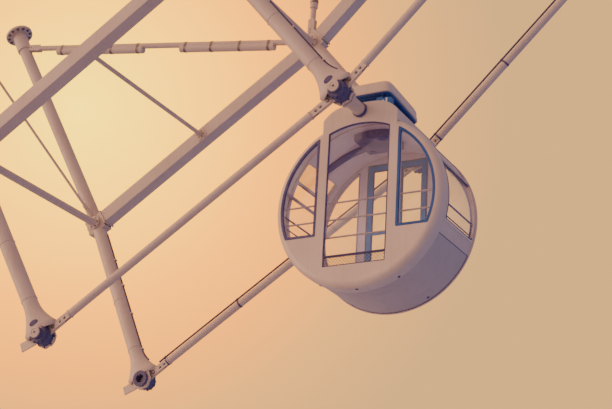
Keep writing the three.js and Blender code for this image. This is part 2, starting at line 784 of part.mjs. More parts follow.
function hingeKnuckle(side, z) {
  const half = hinge.half - hingeTab.shy;
  const x = side * hinge.x;
  const sleeve = rod(vec(x, hinge.y, z - half), vec(x, hinge.y, z + half), hinge.knuckle, axleFacets);
  const outer = centreHalf - leaf.clearance;
  const [inner, back] = [outer - hingeTab.depth, hinge.y + hingeLug.proud];
  const tab = leafBox(side, inner, hinge.x, hinge.y - hingeTab.back, back, z - half, z + half);
  const foot = leafBox(side, inner, outer, leaf.outer - hingeTab.root, back, z - half, z + half);
  const [low, high] = [z - hinge.half - overrun, z + hinge.half + overrun];
  const hole = rod(vec(x, hinge.y, low), vec(x, hinge.y, high), hinge.pin + runningGap, axleFacets);
  return cut(join(sleeve, tab, foot), hole);
}

function leafGlass(side) {
  const inner = leaf.meeting + leafRail.stile + gap;
  const outer = centreHalf - leaf.clearance - leafRail.stile - gap;
  const z0 = -sillDrop + leaf.sillClearance + leafRail.bottom + gap;
  const z1 = -leaf.top - leaf.clearance - leafRail.top - gap;
  const y0 = leaf.outer - leafRail.glassBehind;
  return leafBox(side, inner, outer, y0, y0 + glassThickness, z0, z1);
}

// Assembly

function buildRim() {
  const rim = new THREE.Group();
  const sides = [["near", -1], ["far", 1]];
  const stations = [["left", -1], ["middle", 0], ["right", 1]];
  const bays = [["left", -1], ["right", 0]];
  for (const [sideName, side] of sides) {
    for (const [place, station] of stations) {
      rim.add(mesh(`arm_${sideName}_${place}`, arm(station, side), steelPaint));
    }
    for (const [place, bay] of bays) {
      const tube = side > 0 ? join(rimTube(bay, side), stripOn(bay, side)) : rimTube(bay, side);
      rim.add(mesh(`rim_tube_${sideName}_${place}`, tube, steelPaint));
      rim.add(mesh(`ring_beam_${sideName}_${place}`, ringBeam(bay, side), steelPaint));
      const station = bay === 0 ? 1 : -1;
      rim.add(mesh(`plane_brace_${sideName}_${place}`, planeBrace(station, side), steelPaint));
    }
    rim.add(mesh(`bearing_flange_${sideName}`, bearingFlange(side), darkSteel));
  }
  for (const [place, station] of stations) {
    rim.add(mesh(`cross_member_${place}`, crossMember(station), steelPaint));
    if (station !== 0) rim.add(mesh(`tie_rod_${place}`, crossTie(station), steelPaint));
  }
  for (const [place, bay] of bays) {
    rim.add(mesh(`mid_strut_${place}`, midStrut(bay), steelPaint));
  }
  return rim;
}

function buildCabin() {
  const cabin = new THREE.Group();
  const add = (name, body, look) => cabin.add(mesh(name, body, look));
  add("front_wall", frontWall(), paint);
  add("rear_wall", rearWall(), paint);
  add("roof_shell", barrelPiece(roofAngle, 180 - roofAngle), paint);
  add("belly_shell", barrelPiece(-180 - bellyAngle, bellyAngle), shade);
  add("floor_panel", floorPanel(), floorLook);
  add("roof_housing", roofHousing(), paint);
  add("louvre_band", louvreBand(), darkTrim);
  add("roof_cap", roofCap(), paint);
  add("cabin_axle", axle(), steelPaint);
  add("ceiling_unit", ceilingFitting(), shade);
  add("vent_panel", ventPanel(), darkSteel);
  add("front_guard_rails", guardRails(), darkSteel);
  add("front_centre_glass", faceGlass(centreOpening(paneGap, meshTop), -1), glassLook);
  for (const [place, side] of [["left", -1], ["right", 1]]) {
    add(`side_wall_${place}`, sideWall(side), paint);
    add(`side_glass_${place}`, sideGlass(side), glassLook);
    add(`side_guard_${place}`, sideGuard(side), darkSteel);
    add(`front_glass_${place}`, faceGlass(faceWindow(side, paneGap), -1), glassLook);
    add(`rear_glass_${place}`, faceGlass(faceWindow(side, paneGap), 1), glassLook);
    add(`door_leaf_${place}`, leafFrame(side), darkTrim);
    add(`door_glass_${place}`, leafGlass(side), glassLook);
  }
  return cabin;
}

const section = new THREE.Group();
section.add(buildRim(), buildCabin());
section.position.copy(innerPoint(-1, -1)).negate();

const wheelSection = new THREE.Group();
wheelSection.add(section);
export default wheelSection;
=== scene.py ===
# Looks for a round ferris wheel cabin hung in a two-bay section of its twin rim.
import math

import bmesh
import bpy
from mathutils import Matrix, Vector


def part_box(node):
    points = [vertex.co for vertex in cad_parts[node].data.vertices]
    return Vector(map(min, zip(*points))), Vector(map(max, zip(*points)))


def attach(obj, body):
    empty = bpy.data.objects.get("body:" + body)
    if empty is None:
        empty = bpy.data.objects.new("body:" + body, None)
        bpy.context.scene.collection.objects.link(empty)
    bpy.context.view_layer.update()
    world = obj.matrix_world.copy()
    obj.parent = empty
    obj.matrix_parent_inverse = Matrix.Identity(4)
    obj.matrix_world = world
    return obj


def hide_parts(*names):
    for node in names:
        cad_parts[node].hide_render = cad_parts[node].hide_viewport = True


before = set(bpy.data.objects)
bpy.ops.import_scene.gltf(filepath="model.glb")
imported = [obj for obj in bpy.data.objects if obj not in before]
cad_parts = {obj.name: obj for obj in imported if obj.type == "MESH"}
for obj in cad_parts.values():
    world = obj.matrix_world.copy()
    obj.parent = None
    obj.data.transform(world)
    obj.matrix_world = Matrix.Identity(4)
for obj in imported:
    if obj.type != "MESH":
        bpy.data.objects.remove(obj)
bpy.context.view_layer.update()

# Everything below is laid out in metres round the middle of the cabin's axle, and moved
# into the part's own frame as each piece is finished.
axleLow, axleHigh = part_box("cabin_axle")
axleAt = (axleLow + axleHigh) / 2
print("frame loaded, axle at", [round(c, 4) for c in axleAt])


# Camera, light and floor

cameraView = {
    "place": (14.0561, -13.0614, -10.5580),
    "turn": 29.425,  # degrees to the left of the wheel's axle
    "tilt": 21.483,  # degrees up
    "roll": 3.508,
    "lens": 83.49,  # in millimetres, as the sensor's width is
    "sensorWidth": 36,
    "farEnd": 300,
}


def linkObject(name, data):
    made = bpy.data.objects.new(name, data)
    bpy.context.scene.collection.objects.link(made)
    return made


def turned(degrees, axis):
    return Matrix.Rotation(math.radians(degrees), 4, axis)


def makeCamera():
    v = cameraView
    data = bpy.data.cameras.new("camera")
    data.sensor_fit = "HORIZONTAL"
    data.sensor_width = v["sensorWidth"]
    data.lens = v["lens"]
    data.clip_end = v["farEnd"]
    camera = linkObject("camera", data)
    camera.matrix_world = (Matrix.Translation(v["place"]) @ turned(v["turn"], "Z")
                           @ turned(90 + v["tilt"], "X") @ turned(v["roll"], "Z"))
    bpy.context.scene.camera = camera


def linear(hexColour):
    # an sRGB hex colour as linear RGBA
    values = [int(hexColour[i:i + 2], 16) / 255 for i in (1, 3, 5)]
    return [v / 12.92 if v <= 0.04045 else ((v + 0.055) / 1.055) ** 2.4 for v in values] + [1]


def addNode(tree, kind, settings=None, links=None, out=None):
    # one shader node, its settings by attribute or socket, and what is linked into it;
    # gives the node, or one of its outputs
    node = tree.nodes.new(kind)
    for key, value in (settings or {}).items():
        if isinstance(key, str) and hasattr(node, key):
            setattr(node, key, value)
        else:
            node.inputs[key].default_value = value
    for key, source in (links or {}).items():
        tree.links.new(source, node.inputs[key])
    return node if out is None else node.outputs[out]


studio = {
    # what the camera sees behind the object: a glow, by degrees away from its middle
    "backdrop": ((0, "#FFD20A"), (4.5, "#F6AC0F"), (8, "#E48D14"),
                 (10.5, "#CE7F23"), (13, "#AB7639"), (17, "#906C40")),
    "backdropStrength": 4.2,
    "glowTowards": (-0.5803, 0.7019, 0.4129),
    # what lights the object all round: from the cool side to the warm one
    "fillColours": ((0, "#6F8AC4"), (0.5, "#B59AA0"), (1, "#F0B890")),
    "warmFrom": (-0.55, -0.4, 0.73),
    "fill": 0.86,
    # soft suns: colour, strength, where from, and degrees across
    "suns": (("#FFCFA6", 1.75, (-0.86, -0.42, 0.2), 55),
             ("#FFDCC8", 0.42, (-0.2, -0.9, 0.35), 90)),
    "roomColour": "#FFDCD6",  # daylight that the cabin's pale inside throws about
    "roomPower": 7,
    "roomSize": 0.3,
    "roomDrop": 1.3,  # below the axle
    "floorAt": (5.2, 1.1, -12.6),  # below the camera
    "floorReach": 9,
    "floorColour": "#C4CAE6",
    "floorRough": 0.9,
}


def addLight(name, kind, colour, power):
    data = bpy.data.lights.new(name, kind)
    data.energy = power
    data.color = linear(colour)[:3]
    return linkObject(name, data)


def makeLight():
    s = studio
    world = bpy.data.worlds.new("studio")
    bpy.context.scene.world = world
    world.use_nodes = True
    tree = world.node_tree
    tree.nodes.clear()
    where = addNode(tree, "ShaderNodeTexCoord", out="Generated")

    def along(direction):
        settings = {"operation": "DOT_PRODUCT", 1: Vector(direction).normalized()}
        return addNode(tree, "ShaderNodeVectorMath", settings, {0: where}, "Value")

    def shine(value, low, high, stops, strength):
        # a background whose colour runs through the stops as the value goes from low to high
        share = addNode(tree, "ShaderNodeMapRange",
                        {"From Min": low, "From Max": high}, {0: value}, 0)
        ramp = addNode(tree, "ShaderNodeValToRGB", links={0: share})
        elements = ramp.color_ramp.elements
        for i, (at, colour) in enumerate(stops):
            stop = elements[i] if i < 2 else elements.new(at)
            stop.position, stop.color = at, linear(colour)
        return addNode(tree, "ShaderNodeBackground",
                       {"Strength": strength}, {"Color": ramp.outputs[0]}, 0)

    soft = shine(along(s["warmFrom"]), -1, 1, s["fillColours"], s["fill"])
    away = addNode(tree, "ShaderNodeMath",
                   {"operation": "ARCCOSINE"}, {0: along(s["glowTowards"])}, 0)
    reach = s["backdrop"][-1][0]
    stops = [(degrees / reach, colour) for degrees, colour in s["backdrop"]]
    backdrop = shine(away, 0, math.radians(reach), stops, s["backdropStrength"])
    seen = addNode(tree, "ShaderNodeLightPath", out="Is Camera Ray")
    both = addNode(tree, "ShaderNodeMixShader", links={0: seen, 1: soft, 2: backdrop}, out=0)
    addNode(tree, "ShaderNodeOutputWorld", links={"Surface": both})

    for colour, strength, source, softness in s["suns"]:
        sun = addLight("sun", "SUN", colour, strength)
        sun.data.angle = math.radians(softness)
        sun.rotation_euler = Vector(source).to_track_quat("Z", "Y").to_euler()
    room = addLight("room", "POINT", s["roomColour"], s["roomPower"])
    room.data.shadow_soft_size = s["roomSize"]
    room.location = axleAt - Vector((0, 0, s["roomDrop"]))
    room.visible_camera = False
    room.visible_glossy = False


def makeFloor():
    bm = bmesh.new()
    bmesh.ops.create_grid(bm, x_segments=1, y_segments=1, size=studio["floorReach"])
    bmesh.ops.translate(bm, verts=bm.verts, vec=studio["floorAt"])
    mesh = bpy.data.meshes.new("floor")
    bm.to_mesh(mesh)
    bm.free()
    floor = linkObject("floor", mesh)
    material = bpy.data.materials.new("matt floor paint")
    material.use_nodes = True
    shader = material.node_tree.nodes["Principled BSDF"]
    shader.inputs["Base Color"].default_value = linear(studio["floorColour"])
    shader.inputs["Roughness"].default_value = studio["floorRough"]
    mesh.materials.append(material)


makeCamera()
makeLight()
makeFloor()
print("camera, light and floor made")


# Materials

def startMaterial(name):
    material = bpy.data.materials.new(name)
    material.use_nodes = True
    tree = material.node_tree
    tree.nodes.clear()
    output = addNode(tree, "ShaderNodeOutputMaterial")
    shader = addNode(tree, "ShaderNodeBsdfPrincipled")
    tree.links.new(shader.outputs[0], output.inputs["Surface"])
    return material, tree, shader, addNode(tree, "ShaderNodeTexCoord", out="Object")


def blotches(millimetres, detail=4, rough=0.55):
    # settings of a noise whose blotches are about so many millimetres across
    return {"Scale": 1000 / millimetres, "Detail": detail, "Roughness": rough}


def finishMaterial(tree, shader, links, values):
    for socket, source in links.items():
        tree.links.new(source, shader.inputs[socket])
    for socket, value in values.items():
        shader.inputs[socket].default_value = value


# Sizes of every pattern are in millimetres, heights of bumps in metres

paintPattern = {
    # the noise values between which each layer of colour fades in
    "drift": (0.3, 0.7),
    "streak": (0.52, 0.78),
    "speck": (0.64, 0.76),
    "streakStretch": (1, 1, 0.07),  # long down the height
    "roughStreak": (0.3, 0.8),  # the streak values over which the roughness rises
    "roughBy": (-0.06, 0.14),
    "peelHeight": 0.0006,
    "ior": 1.5,
}


def paintedSurface(name, look):
    # Sprayed paint: faint orange peel, slow colour drift, rain streaks down the height
    # and soot in spots
    p = paintPattern
    material, tree, shader, place = startMaterial(name)
    long = addNode(tree, "ShaderNodeMapping", {"Scale": p["streakStretch"]}, {"Vector": place}, 0)
    drift, streak, speck, peel = (
        addNode(tree, "ShaderNodeTexNoise", blotches(*sizes), {"Vector": source}, 0)
        for source, sizes in ((place, (look["driftSize"],)), (long, (look["streakWidth"], 5, 0.6)),
                              (place, (look["speckSize"], 6, 0.7)), (place, (look["peelSize"], 2))))
    under = {}
    for pattern, fade, most, over in ((drift, p["drift"], 1, "base"),
                                      (streak, p["streak"], look["streakShare"], "dirt"),
                                      (speck, p["speck"], look["speckShare"], "dirt")):
        share = addNode(tree, "ShaderNodeMapRange",
                        {"From Min": fade[0], "From Max": fade[1], "To Max": most}, {0: pattern}, 0)
        settings = {"data_type": "RGBA", 6: linear(look["light"]), 7: linear(look[over])}
        colour = addNode(tree, "ShaderNodeMix", settings, {0: share, **under}, 2)
        under = {6: colour}
    (low, high), (less, more) = p["roughStreak"], p["roughBy"]
    rough = addNode(tree, "ShaderNodeMapRange",
                    {"From Min": low, "From Max": high, "To Min": look["rough"] + less,
                     "To Max": look["rough"] + more}, {0: streak}, 0)
    bump = addNode(tree, "ShaderNodeBump", {"Strength": look["peel"], "Distance": p["peelHeight"]},
                   {"Height": peel}, 0)
    finishMaterial(tree, shader, {"Base Color": colour, "Roughness": rough, "Normal": bump},
                   {"IOR": p["ior"], **look.get("shader", {})})
    return material


# Gelcoat on moulded glass fibre: a deep even gloss over a cream body colour
cabinGelcoat = paintedSurface("gelcoat on moulded glass fibre", {
    "base": "#DDC6B8", "light": "#E8D3C4", "dirt": "#A08478", "driftSize": 700, "streakWidth": 60,
    "streakShare": 0.2, "speckSize": 26, "speckShare": 0.16, "rough": 0.34, "peelSize": 9,
    "peel": 0.12, "shader": {"Coat Weight": 0.35, "Coat Roughness": 0.12},
})
# The same gelcoat under the drum, drawn darker and cooler as painted shade, and duller, with road
# dust and drips
bellyGelcoatPaintedShade = paintedSurface("weathered gelcoat with painted shade under the drum", {
    "base": "#C4B2B0", "light": "#D0BFBA", "dirt": "#8E7C80", "driftSize": 900, "streakWidth": 90,
    "streakShare": 0.22, "speckSize": 34, "speckShare": 0.2, "rough": 0.42, "peelSize": 9,
    "peel": 0.12, "shader": {"Coat Weight": 0.2, "Coat Roughness": 0.2},
})
# Two-pack enamel sprayed on rolled steel: satin, with drip marks and a little chalking
steelEnamel = paintedSurface("two-pack enamel on rolled steel", {
    "base": "#D6C0B4", "light": "#E1CBBE", "dirt": "#94786F", "driftSize": 500, "streakWidth": 45,
    "streakShare": 0.18, "speckSize": 22, "speckShare": 0.1, "rough": 0.44, "peelSize": 12,
    "peel": 0.2,
})
# Powder coat on aluminium section: fine even texture, dark blue
sectionCoat = {
    "base": "#1A4E98", "light": "#2460AC", "dirt": "#163058", "driftSize": 300, "streakWidth": 40,
    "streakShare": 0.3, "speckSize": 18, "speckShare": 0.3, "rough": 0.42, "peelSize": 5,
    "peel": 0.25,
}
frameCoat = paintedSurface("powder coat on aluminium section", sectionCoat)
# The same coat on the doors, drawn a lighter blue as painted light for the shaded inside of the
# cabin
doorCoatPaintedLight = paintedSurface("powder coat lightened as painted light on door section", {
    **sectionCoat, "base": "#2A6CB4", "light": "#3A7CC0", "dirt": "#1E3C72",
})
# Black-blue enamel on the steel castings and guard tubes, greasy near the bearings
castingEnamel = paintedSurface("dark enamel on cast steel", {
    "base": "#524A78", "light": "#625A8A", "dirt": "#332C48", "driftSize": 160, "streakWidth": 30,
    "streakShare": 0.45, "speckSize": 12, "speckShare": 0.5, "rough": 0.46, "peelSize": 8,
    "peel": 0.5,
})
# Slatted aluminium of the cooling grille, deep navy
grilleCoat = paintedSurface("navy powder coat on pressed aluminium", {
    **sectionCoat, "base": "#2A4494", "light": "#3A5CA8", "dirt": "#1F2A60", "driftSize": 200,
    "streakWidth": 30, "speckSize": 14, "rough": 0.38, "peel": 0.2,
})
# Thermoformed plastic lining overhead: matt, faintly pebbled
liningLook = {
    "base": "#DCC8D2", "light": "#E6D5DC", "dirt": "#9C8892", "driftSize": 400, "streakWidth": 80,
    "streakShare": 0.2, "speckSize": 20, "speckShare": 0.2, "rough": 0.6, "peelSize": 3,
    "peel": 0.35, "shader": {"IOR": 1.46},
}
ceilingPlastic = paintedSurface("thermoformed plastic lining", liningLook)
# The cooling unit's casing and duct: the same plastic drawn a darker mauve as painted shade
unitPlasticPaintedShade = paintedSurface("mauve plastic casing darkened as painted shade", {
    **liningLook, "base": "#6E6090", "light": "#7C6E9C", "dirt": "#4C4468", "driftSize": 300,
    "streakWidth": 60, "speckSize": 18, "rough": 0.55, "peel": 0.3,
})
# White melamine on the window sills, the catch's latch and the walls' inner rims: smooth, and drawn
# pale also as painted light, standing for daylight on the inside
melaminePaintedLight = paintedSurface("white melamine panel with painted light", {
    "base": "#F4E6DC", "light": "#FAEEE6", "dirt": "#C4AE9C", "driftSize": 500, "streakWidth": 80,
    "streakShare": 0.15, "speckSize": 24, "speckShare": 0.1, "rough": 0.38, "peelSize": 6,
    "peel": 0.1,
})


def wearOver(tree, share, colours, roughness):
    # colour and roughness that go from their first value to their second with a share of wear
    settings = {"data_type": "RGBA", 6: linear(colours[0]), 7: linear(colours[1])}
    colour = addNode(tree, "ShaderNodeMix", settings, {0: share}, 2)
    rough = addNode(tree, "ShaderNodeMapRange",
                    {"To Min": roughness[0], "To Max": roughness[1]}, {0: share}, 0)
    return {"Base Color": colour, "Roughness": rough}


sealLook = {
    "colours": ("#524D84", "#706B98"),  # fresh and aged
    "rough": (0.5, 0.68),
    "bloomSize": 40,
    "bloom": (0.45, 0.75),  # the noise values between which it shows
    "grainSize": 3,
    "grain": 0.25,
    "grainHeight": 0.0003,
    "ior": 1.52,
}


def rubberSeal():
    # Extruded EPDM rubber round the glass: nearly black, blooming a little grey where it ages
    s = sealLook
    material, tree, shader, place = startMaterial("extruded rubber seal")
    patches, grain = (addNode(tree, "ShaderNodeTexNoise", blotches(*sizes), {"Vector": place}, 0)
                      for sizes in ((s["bloomSize"], 5), (s["grainSize"], 2)))
    bloom = addNode(tree, "ShaderNodeMapRange",
                    {"From Min": s["bloom"][0], "From Max": s["bloom"][1]}, {0: patches}, 0)
    bump = addNode(tree, "ShaderNodeBump", {"Strength": s["grain"], "Distance": s["grainHeight"]},
                   {"Height": grain}, 0)
    worn = wearOver(tree, bloom, s["colours"], s["rough"])
    finishMaterial(tree, shader, {**worn, "Normal": bump}, {"IOR": s["ior"]})
    return material


glassLook = {
    "dustSize": 180,
    "dustStretch": (1, 1, 0.3),  # a little longer down the height
    "dust": (0.42, 0.8),  # the noise values between which it shows
    "mirror": (0.06, 0.9),  # what is covered straight on and fully aslant
    "rough": (0.02, 0.14),  # clean and dusty
}


def laminatedGlass(name, dusty, colours):
    # Laminated glass: seen through, reflecting more as it is seen aslant, with a faint film of
    # dust. It is drawn as a mirror that covers as much as Schlick's curve gives.
    g = glassLook
    material, tree, shader, place = startMaterial(name)
    long = addNode(tree, "ShaderNodeMapping", {"Scale": g["dustStretch"]}, {"Vector": place}, 0)
    patches = addNode(tree, "ShaderNodeTexNoise", blotches(g["dustSize"], 5, 0.65),
                      {"Vector": long}, 0)
    dust = addNode(tree, "ShaderNodeMapRange",
                   {"From Min": g["dust"][0], "From Max": g["dust"][1]}, {0: patches}, 0)
    aslant = addNode(tree, "ShaderNodeLayerWeight", {"Blend": 0.5}, out="Facing")
    steep = addNode(tree, "ShaderNodeMath", {"operation": "POWER", 1: 5}, {0: aslant}, 0)
    mirror, film = (
        addNode(tree, "ShaderNodeMapRange", {"To Min": low, "To Max": high}, {0: share}, 0)
        for (low, high), share in ((g["mirror"], steep), (dusty, dust)))
    cover = addNode(tree, "ShaderNodeMath", {"operation": "ADD", "use_clamp": True},
                    {0: mirror, 1: film}, 0)
    worn = wearOver(tree, dust, colours, g["rough"])
    finishMaterial(tree, shader, {**worn, "Alpha": cover}, {"Metallic": 1.0})
    return material


def zincSteel():
    # Zinc-plated fasteners: dull silver with darker spangles, drawn coarse so that they show
    material, tree, shader, place = startMaterial("zinc-plated steel")
    spangleSize = 7  # millimetres
    spangle = addNode(tree, "ShaderNodeTexVoronoi", {"Scale": 1000 / spangleSize},
                      {"Vector": place}, "Color")
    split = addNode(tree, "ShaderNodeSeparateColor", links={0: spangle}, out=0)
    worn = wearOver(tree, split, ("#7F7480", "#A89A98"), (0.35, 0.55))
    finishMaterial(tree, shader, worn, {"Metallic": 1.0})
    return material


vinylLook = {
    "colours": ("#4C4552", "#6E6468"),  # as laid and scuffed
    "rough": (0.75, 0.6),
    "scuffSize": 260,
    "scuff": (0.45, 0.75),  # the noise values between which it shows
    "ribSpacing": 6,
    "rib": 0.5,
    "ribHeight": 0.001,
    "ior": 1.5,
}


def ribbedVinyl():
    # Ribbed vinyl floor sheet: dark, matt, ribbed across the cabin, scuffed pale in patches
    v = vinylLook
    material, tree, shader, place = startMaterial("ribbed vinyl floor sheet")
    patches = addNode(tree, "ShaderNodeTexNoise", blotches(v["scuffSize"], 6, 0.7),
                      {"Vector": place}, 0)
    scuff = addNode(tree, "ShaderNodeMapRange",
                    {"From Min": v["scuff"][0], "From Max": v["scuff"][1]}, {0: patches}, 0)
    # the wave's own period is a twentieth of a turn
    ribs = addNode(tree, "ShaderNodeTexWave",
                   {"Scale": 1000 / v["ribSpacing"] * math.pi / 10, "bands_direction": "X"},
                   {"Vector": place}, 1)
    bump = addNode(tree, "ShaderNodeBump", {"Strength": v["rib"], "Distance": v["ribHeight"]},
                   {"Height": ribs}, 0)
    worn = wearOver(tree, scuff, v["colours"], v["rough"])
    finishMaterial(tree, shader, {**worn, "Normal": bump}, {"IOR": v["ior"]})
    return material


rubber = rubberSeal()
glass = laminatedGlass("laminated window glass", (0.01, 0.05), ("#DCE0EE", "#E8DCCF"))
smokedGlass = laminatedGlass("smoked vent glass", (0.2, 0.28), ("#C2C2DA", "#C8C0CC"))
zinc = zincSteel()
vinyl = ribbedVinyl()
# Satin enamel on the guard tubes: mauve grey, rubbed lighter by hands
railPaint = paintedSurface("satin enamel on guard tube", {
    "base": "#A793A6", "light": "#C2AEBA", "dirt": "#5E5470", "driftSize": 90, "streakWidth": 25,
    "streakShare": 0.3, "speckSize": 9, "speckShare": 0.25, "rough": 0.34, "peelSize": 5,
    "peel": 0.15,
})
# Zinc-rich primer on small pressed parts: pale, matt and a little blotchy
zincPaint = paintedSurface("zinc-rich paint on pressed steel", {
    "base": "#7E88A0", "light": "#A9A6AC", "dirt": "#4F4A66", "driftSize": 60, "streakWidth": 20,
    "streakShare": 0.3, "speckSize": 9, "speckShare": 0.4, "rough": 0.5, "peelSize": 4,
    "peel": 0.3,
})
print("materials made")


# Shaping helpers

def shifted(basis, x, y, z):
    return basis @ Matrix.Translation((x, y, z))


def pointOn(basis, x, y, z):
    return basis @ Vector((x, y, z))


def wayOf(basis, x, y, z):
    # a direction given along a matrix's own axes
    return basis.to_3x3() @ Vector((x, y, z))


def frameAt(start, end, side=(0, 1, 0)):
    # a matrix at start whose Z runs to end and whose X is as near to side as it can be
    along = (end - start).normalized()
    across = Vector(side) - along * along.dot(Vector(side))
    if across.length < 1e-4:
        across = Vector((1, 0, 0)) - along * along.x
    across.normalize()
    basis = Matrix((across, along.cross(across), along)).transposed().to_4x4()
    basis.translation = start
    return basis


def roundEdges(bm, verts, size, steps=2, over=50):
    # bevels those edges of the given vertices that turn by more than some degrees
    inside = set(verts)
    edges = {e for v in verts for e in v.link_edges
             if e.other_vert(v) in inside and len(e.link_faces) == 2
             and e.calc_face_angle(0) > math.radians(over)}
    bmesh.ops.bevel(bm, geom=list(edges), offset=size, affect="EDGES", segments=steps,
                    profile=0.5, material=-1)


def addRod(bm, start, end, radius, segments=40, endRadius=None, rounding=0.0):
    length = (end - start).length
    made = bmesh.ops.create_cone(
        bm, cap_ends=True, segments=segments, radius1=radius,
        radius2=radius if endRadius is None else endRadius, depth=length,
        matrix=frameAt(start, end) @ Matrix.Translation((0, 0, length / 2)))
    if rounding:
        roundEdges(bm, made["verts"], rounding)


def addRodOn(bm, basis, low, high, radius, segments=40, endRadius=None, rounding=0.0):
    # a rod along a matrix's Z, between two distances from its origin
    addRod(bm, pointOn(basis, 0, 0, low), pointOn(basis, 0, 0, high), radius, segments,
           endRadius, rounding)


def addBlock(bm, basis, size, rounding=0.004):
    # a box of that size on a matrix, standing on the matrix's origin along its Z
    shift = Matrix.Translation((0, 0, size[2] / 2))
    made = bmesh.ops.create_cube(bm, size=1, matrix=basis @ shift @ Matrix.Diagonal((*size, 1)))
    if rounding:
        roundEdges(bm, made["verts"], rounding)


def addBox(bm, low, high, rounding=0.004):
    low, high = Vector(low), Vector(high)
    size = high - low
    basis = Matrix.Translation(((low.x + high.x) / 2, (low.y + high.y) / 2, low.z))
    addBlock(bm, basis, size, rounding)


def addLathe(bm, profile, segments=64, basis=Matrix.Identity(4), closed=False):
    # spins points of radius and height round a matrix's Z
    verts = [bm.verts.new(basis @ Vector((radius, 0, height))) for radius, height in profile]
    pairs = list(zip(verts, verts[1:])) + ([(verts[-1], verts[0])] if closed else [])
    edges = [bm.edges.new(pair) for pair in pairs]
    axis = basis.to_3x3() @ Vector((0, 0, 1))
    bmesh.ops.spin(bm, geom=verts + edges, cent=basis.translation, axis=axis,
                   angle=2 * math.pi, steps=segments, use_merge=True)
    bmesh.ops.remove_doubles(bm, verts=bm.verts, dist=1e-6)


def fillHoles(bm):
    rims = [e for e in bm.edges if e.is_boundary]
    bmesh.ops.holes_fill(bm, edges=rims, sides=0)


def roundedProfile(radius, height, size, start, end, steps=10):
    turns = [math.radians(start + (end - start) * i / steps) for i in range(steps + 1)]
    return [(radius + size * math.cos(t), height + size * math.sin(t)) for t in turns]


def addTorus(bm, basis, radius, thickness, segments=48, around=10):
    circle = roundedProfile(radius, 0, thickness, 0, 360 - 360 / around, around - 1)
    addLathe(bm, circle, segments, basis, closed=True)


def addLoft(bm, loops, closed=False, capped=False):
    # joins closed loops of as many points each with quads, in order
    rings = [[bm.verts.new(point) for point in points] for points in loops]
    pairs = list(zip(rings, rings[1:])) + ([(rings[-1], rings[0])] if closed else [])
    made = []
    for first, last in pairs:
        made += [bm.faces.new((first[i - 1], first[i], last[i], last[i - 1]))
                 for i in range(len(first))]
    if capped:
        made += [bm.faces.new(rings[0]), bm.faces.new(rings[-1])]
    bmesh.ops.recalc_face_normals(bm, faces=made)
    bm.normal_update()
    return [v for ring in rings for v in ring]


def pushFace(bm, face, way):
    # extrudes a face that far and gives the vertices of both its ends
    made = bmesh.ops.extrude_face_region(bm, geom=[face])
    moved = [v for v in made["geom"] if isinstance(v, bmesh.types.BMVert)]
    bmesh.ops.translate(bm, verts=moved, vec=way)
    return list(face.verts) + moved


def addSlab(bm, outline, y0, y1, rounding=0.0, steps=2):
    # a flat outline of X and Z, pushed along Y
    face = bm.faces.new([bm.verts.new((x, y0, z)) for x, z in outline])
    verts = pushFace(bm, face, (0, y1 - y0, 0))
    if rounding:
        roundEdges(bm, verts, rounding, steps)
    return verts


def faceOutwards(bm):
    bmesh.ops.recalc_face_normals(bm, faces=bm.faces)
    if bm.calc_volume(signed=True) < 0:
        bmesh.ops.reverse_faces(bm, faces=bm.faces)


def asObject(bm, name):
    mesh = bpy.data.meshes.new(name)
    faceOutwards(bm)
    bm.to_mesh(mesh)
    bm.free()
    return linkObject(name, mesh)


def dropObject(thing):
    mesh = thing.data
    bpy.data.objects.remove(thing)
    bpy.data.meshes.remove(mesh)


def carve(bm, tool, operation="DIFFERENCE"):
    # bm cut by the tool's shape, or joined with it or kept inside it
    body, cutter = asObject(bm, "carveBody"), asObject(tool, "carveTool")
    step = body.modifiers.new("carve", "BOOLEAN")
    step.solver = "MANIFOLD"
    step.operation = operation
    step.object = cutter
    result = bmesh.new()
    bpy.context.view_layer.update()
    result.from_object(body, bpy.context.evaluated_depsgraph_get())
    dropObject(body)
    dropObject(cutter)
    return result


def finishPiece(bm, name, body, material, replaced=(), sharp=32):
    bmesh.ops.remove_doubles(bm, verts=bm.verts, dist=2e-6)
    faceOutwards(bm)
    bmesh.ops.translate(bm, verts=bm.verts, vec=axleAt)
    for face in bm.faces:
        face.smooth = True
    for edge in bm.edges:
        edge.smooth = len(edge.link_faces) == 2 and edge.calc_face_angle(0) < math.radians(sharp)
    mesh = bpy.data.meshes.new(name)
    bm.to_mesh(mesh)
    bm.free()
    piece = linkObject(name, mesh)
    mesh.materials.append(material)
    normals = piece.modifiers.new("normals", "WEIGHTED_NORMAL")
    normals.keep_sharp = True
    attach(piece, body)
    if replaced:
        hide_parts(*replaced)
    return piece


def dressNode(name, material):
    # gives a CAD node that stays a material of its own
    for slot in bpy.data.objects[name].material_slots:
        slot.material = material


boltSizes = {  # radius of the head and its height
    "hubCap": (0.007, 0.006),
    "bearing": (0.009, 0.011),
    "cover": (0.009, 0.009),
    "handHole": (0.006, 0.005),
    "ringJoint": (0.013, 0.012),
    "spokeFlange": (0.018, 0.018),
    "braceLug": (0.015, 0.012),
    "beam": (0.01, 0.01),
    "member": (0.009, 0.009),
    "guard": (0.006, 0.005),
    "vent": (0.005, 0.004),
    "door": (0.007, 0.005),
    "spliceHeight": 0.013,
    "washer": 1.35,  # of the head's radius
    "washerSpan": (0.004, 0.003),  # into the plate and out of it
}


def addBolt(bm, at, outwards, size, height):
    # a hexagon head on a washer, facing outwards
    way = Vector(outwards).normalized()
    under, over = boltSizes["washerSpan"]
    addRod(bm, at - way * under, at + way * over, size * boltSizes["washer"], 14)
    addRod(bm, at, at + way * height, size, 6, endRadius=size * 0.93)


def boltCircle(bm, basis, radius, count, size, height):
    for i in range(count):
        turn = 2 * math.pi * i / count
        at = pointOn(basis, radius * math.cos(turn), radius * math.sin(turn), 0)
        addBolt(bm, at, wayOf(basis, 0, 0, 1), size, height)


# Wheel layout, as the frame has it

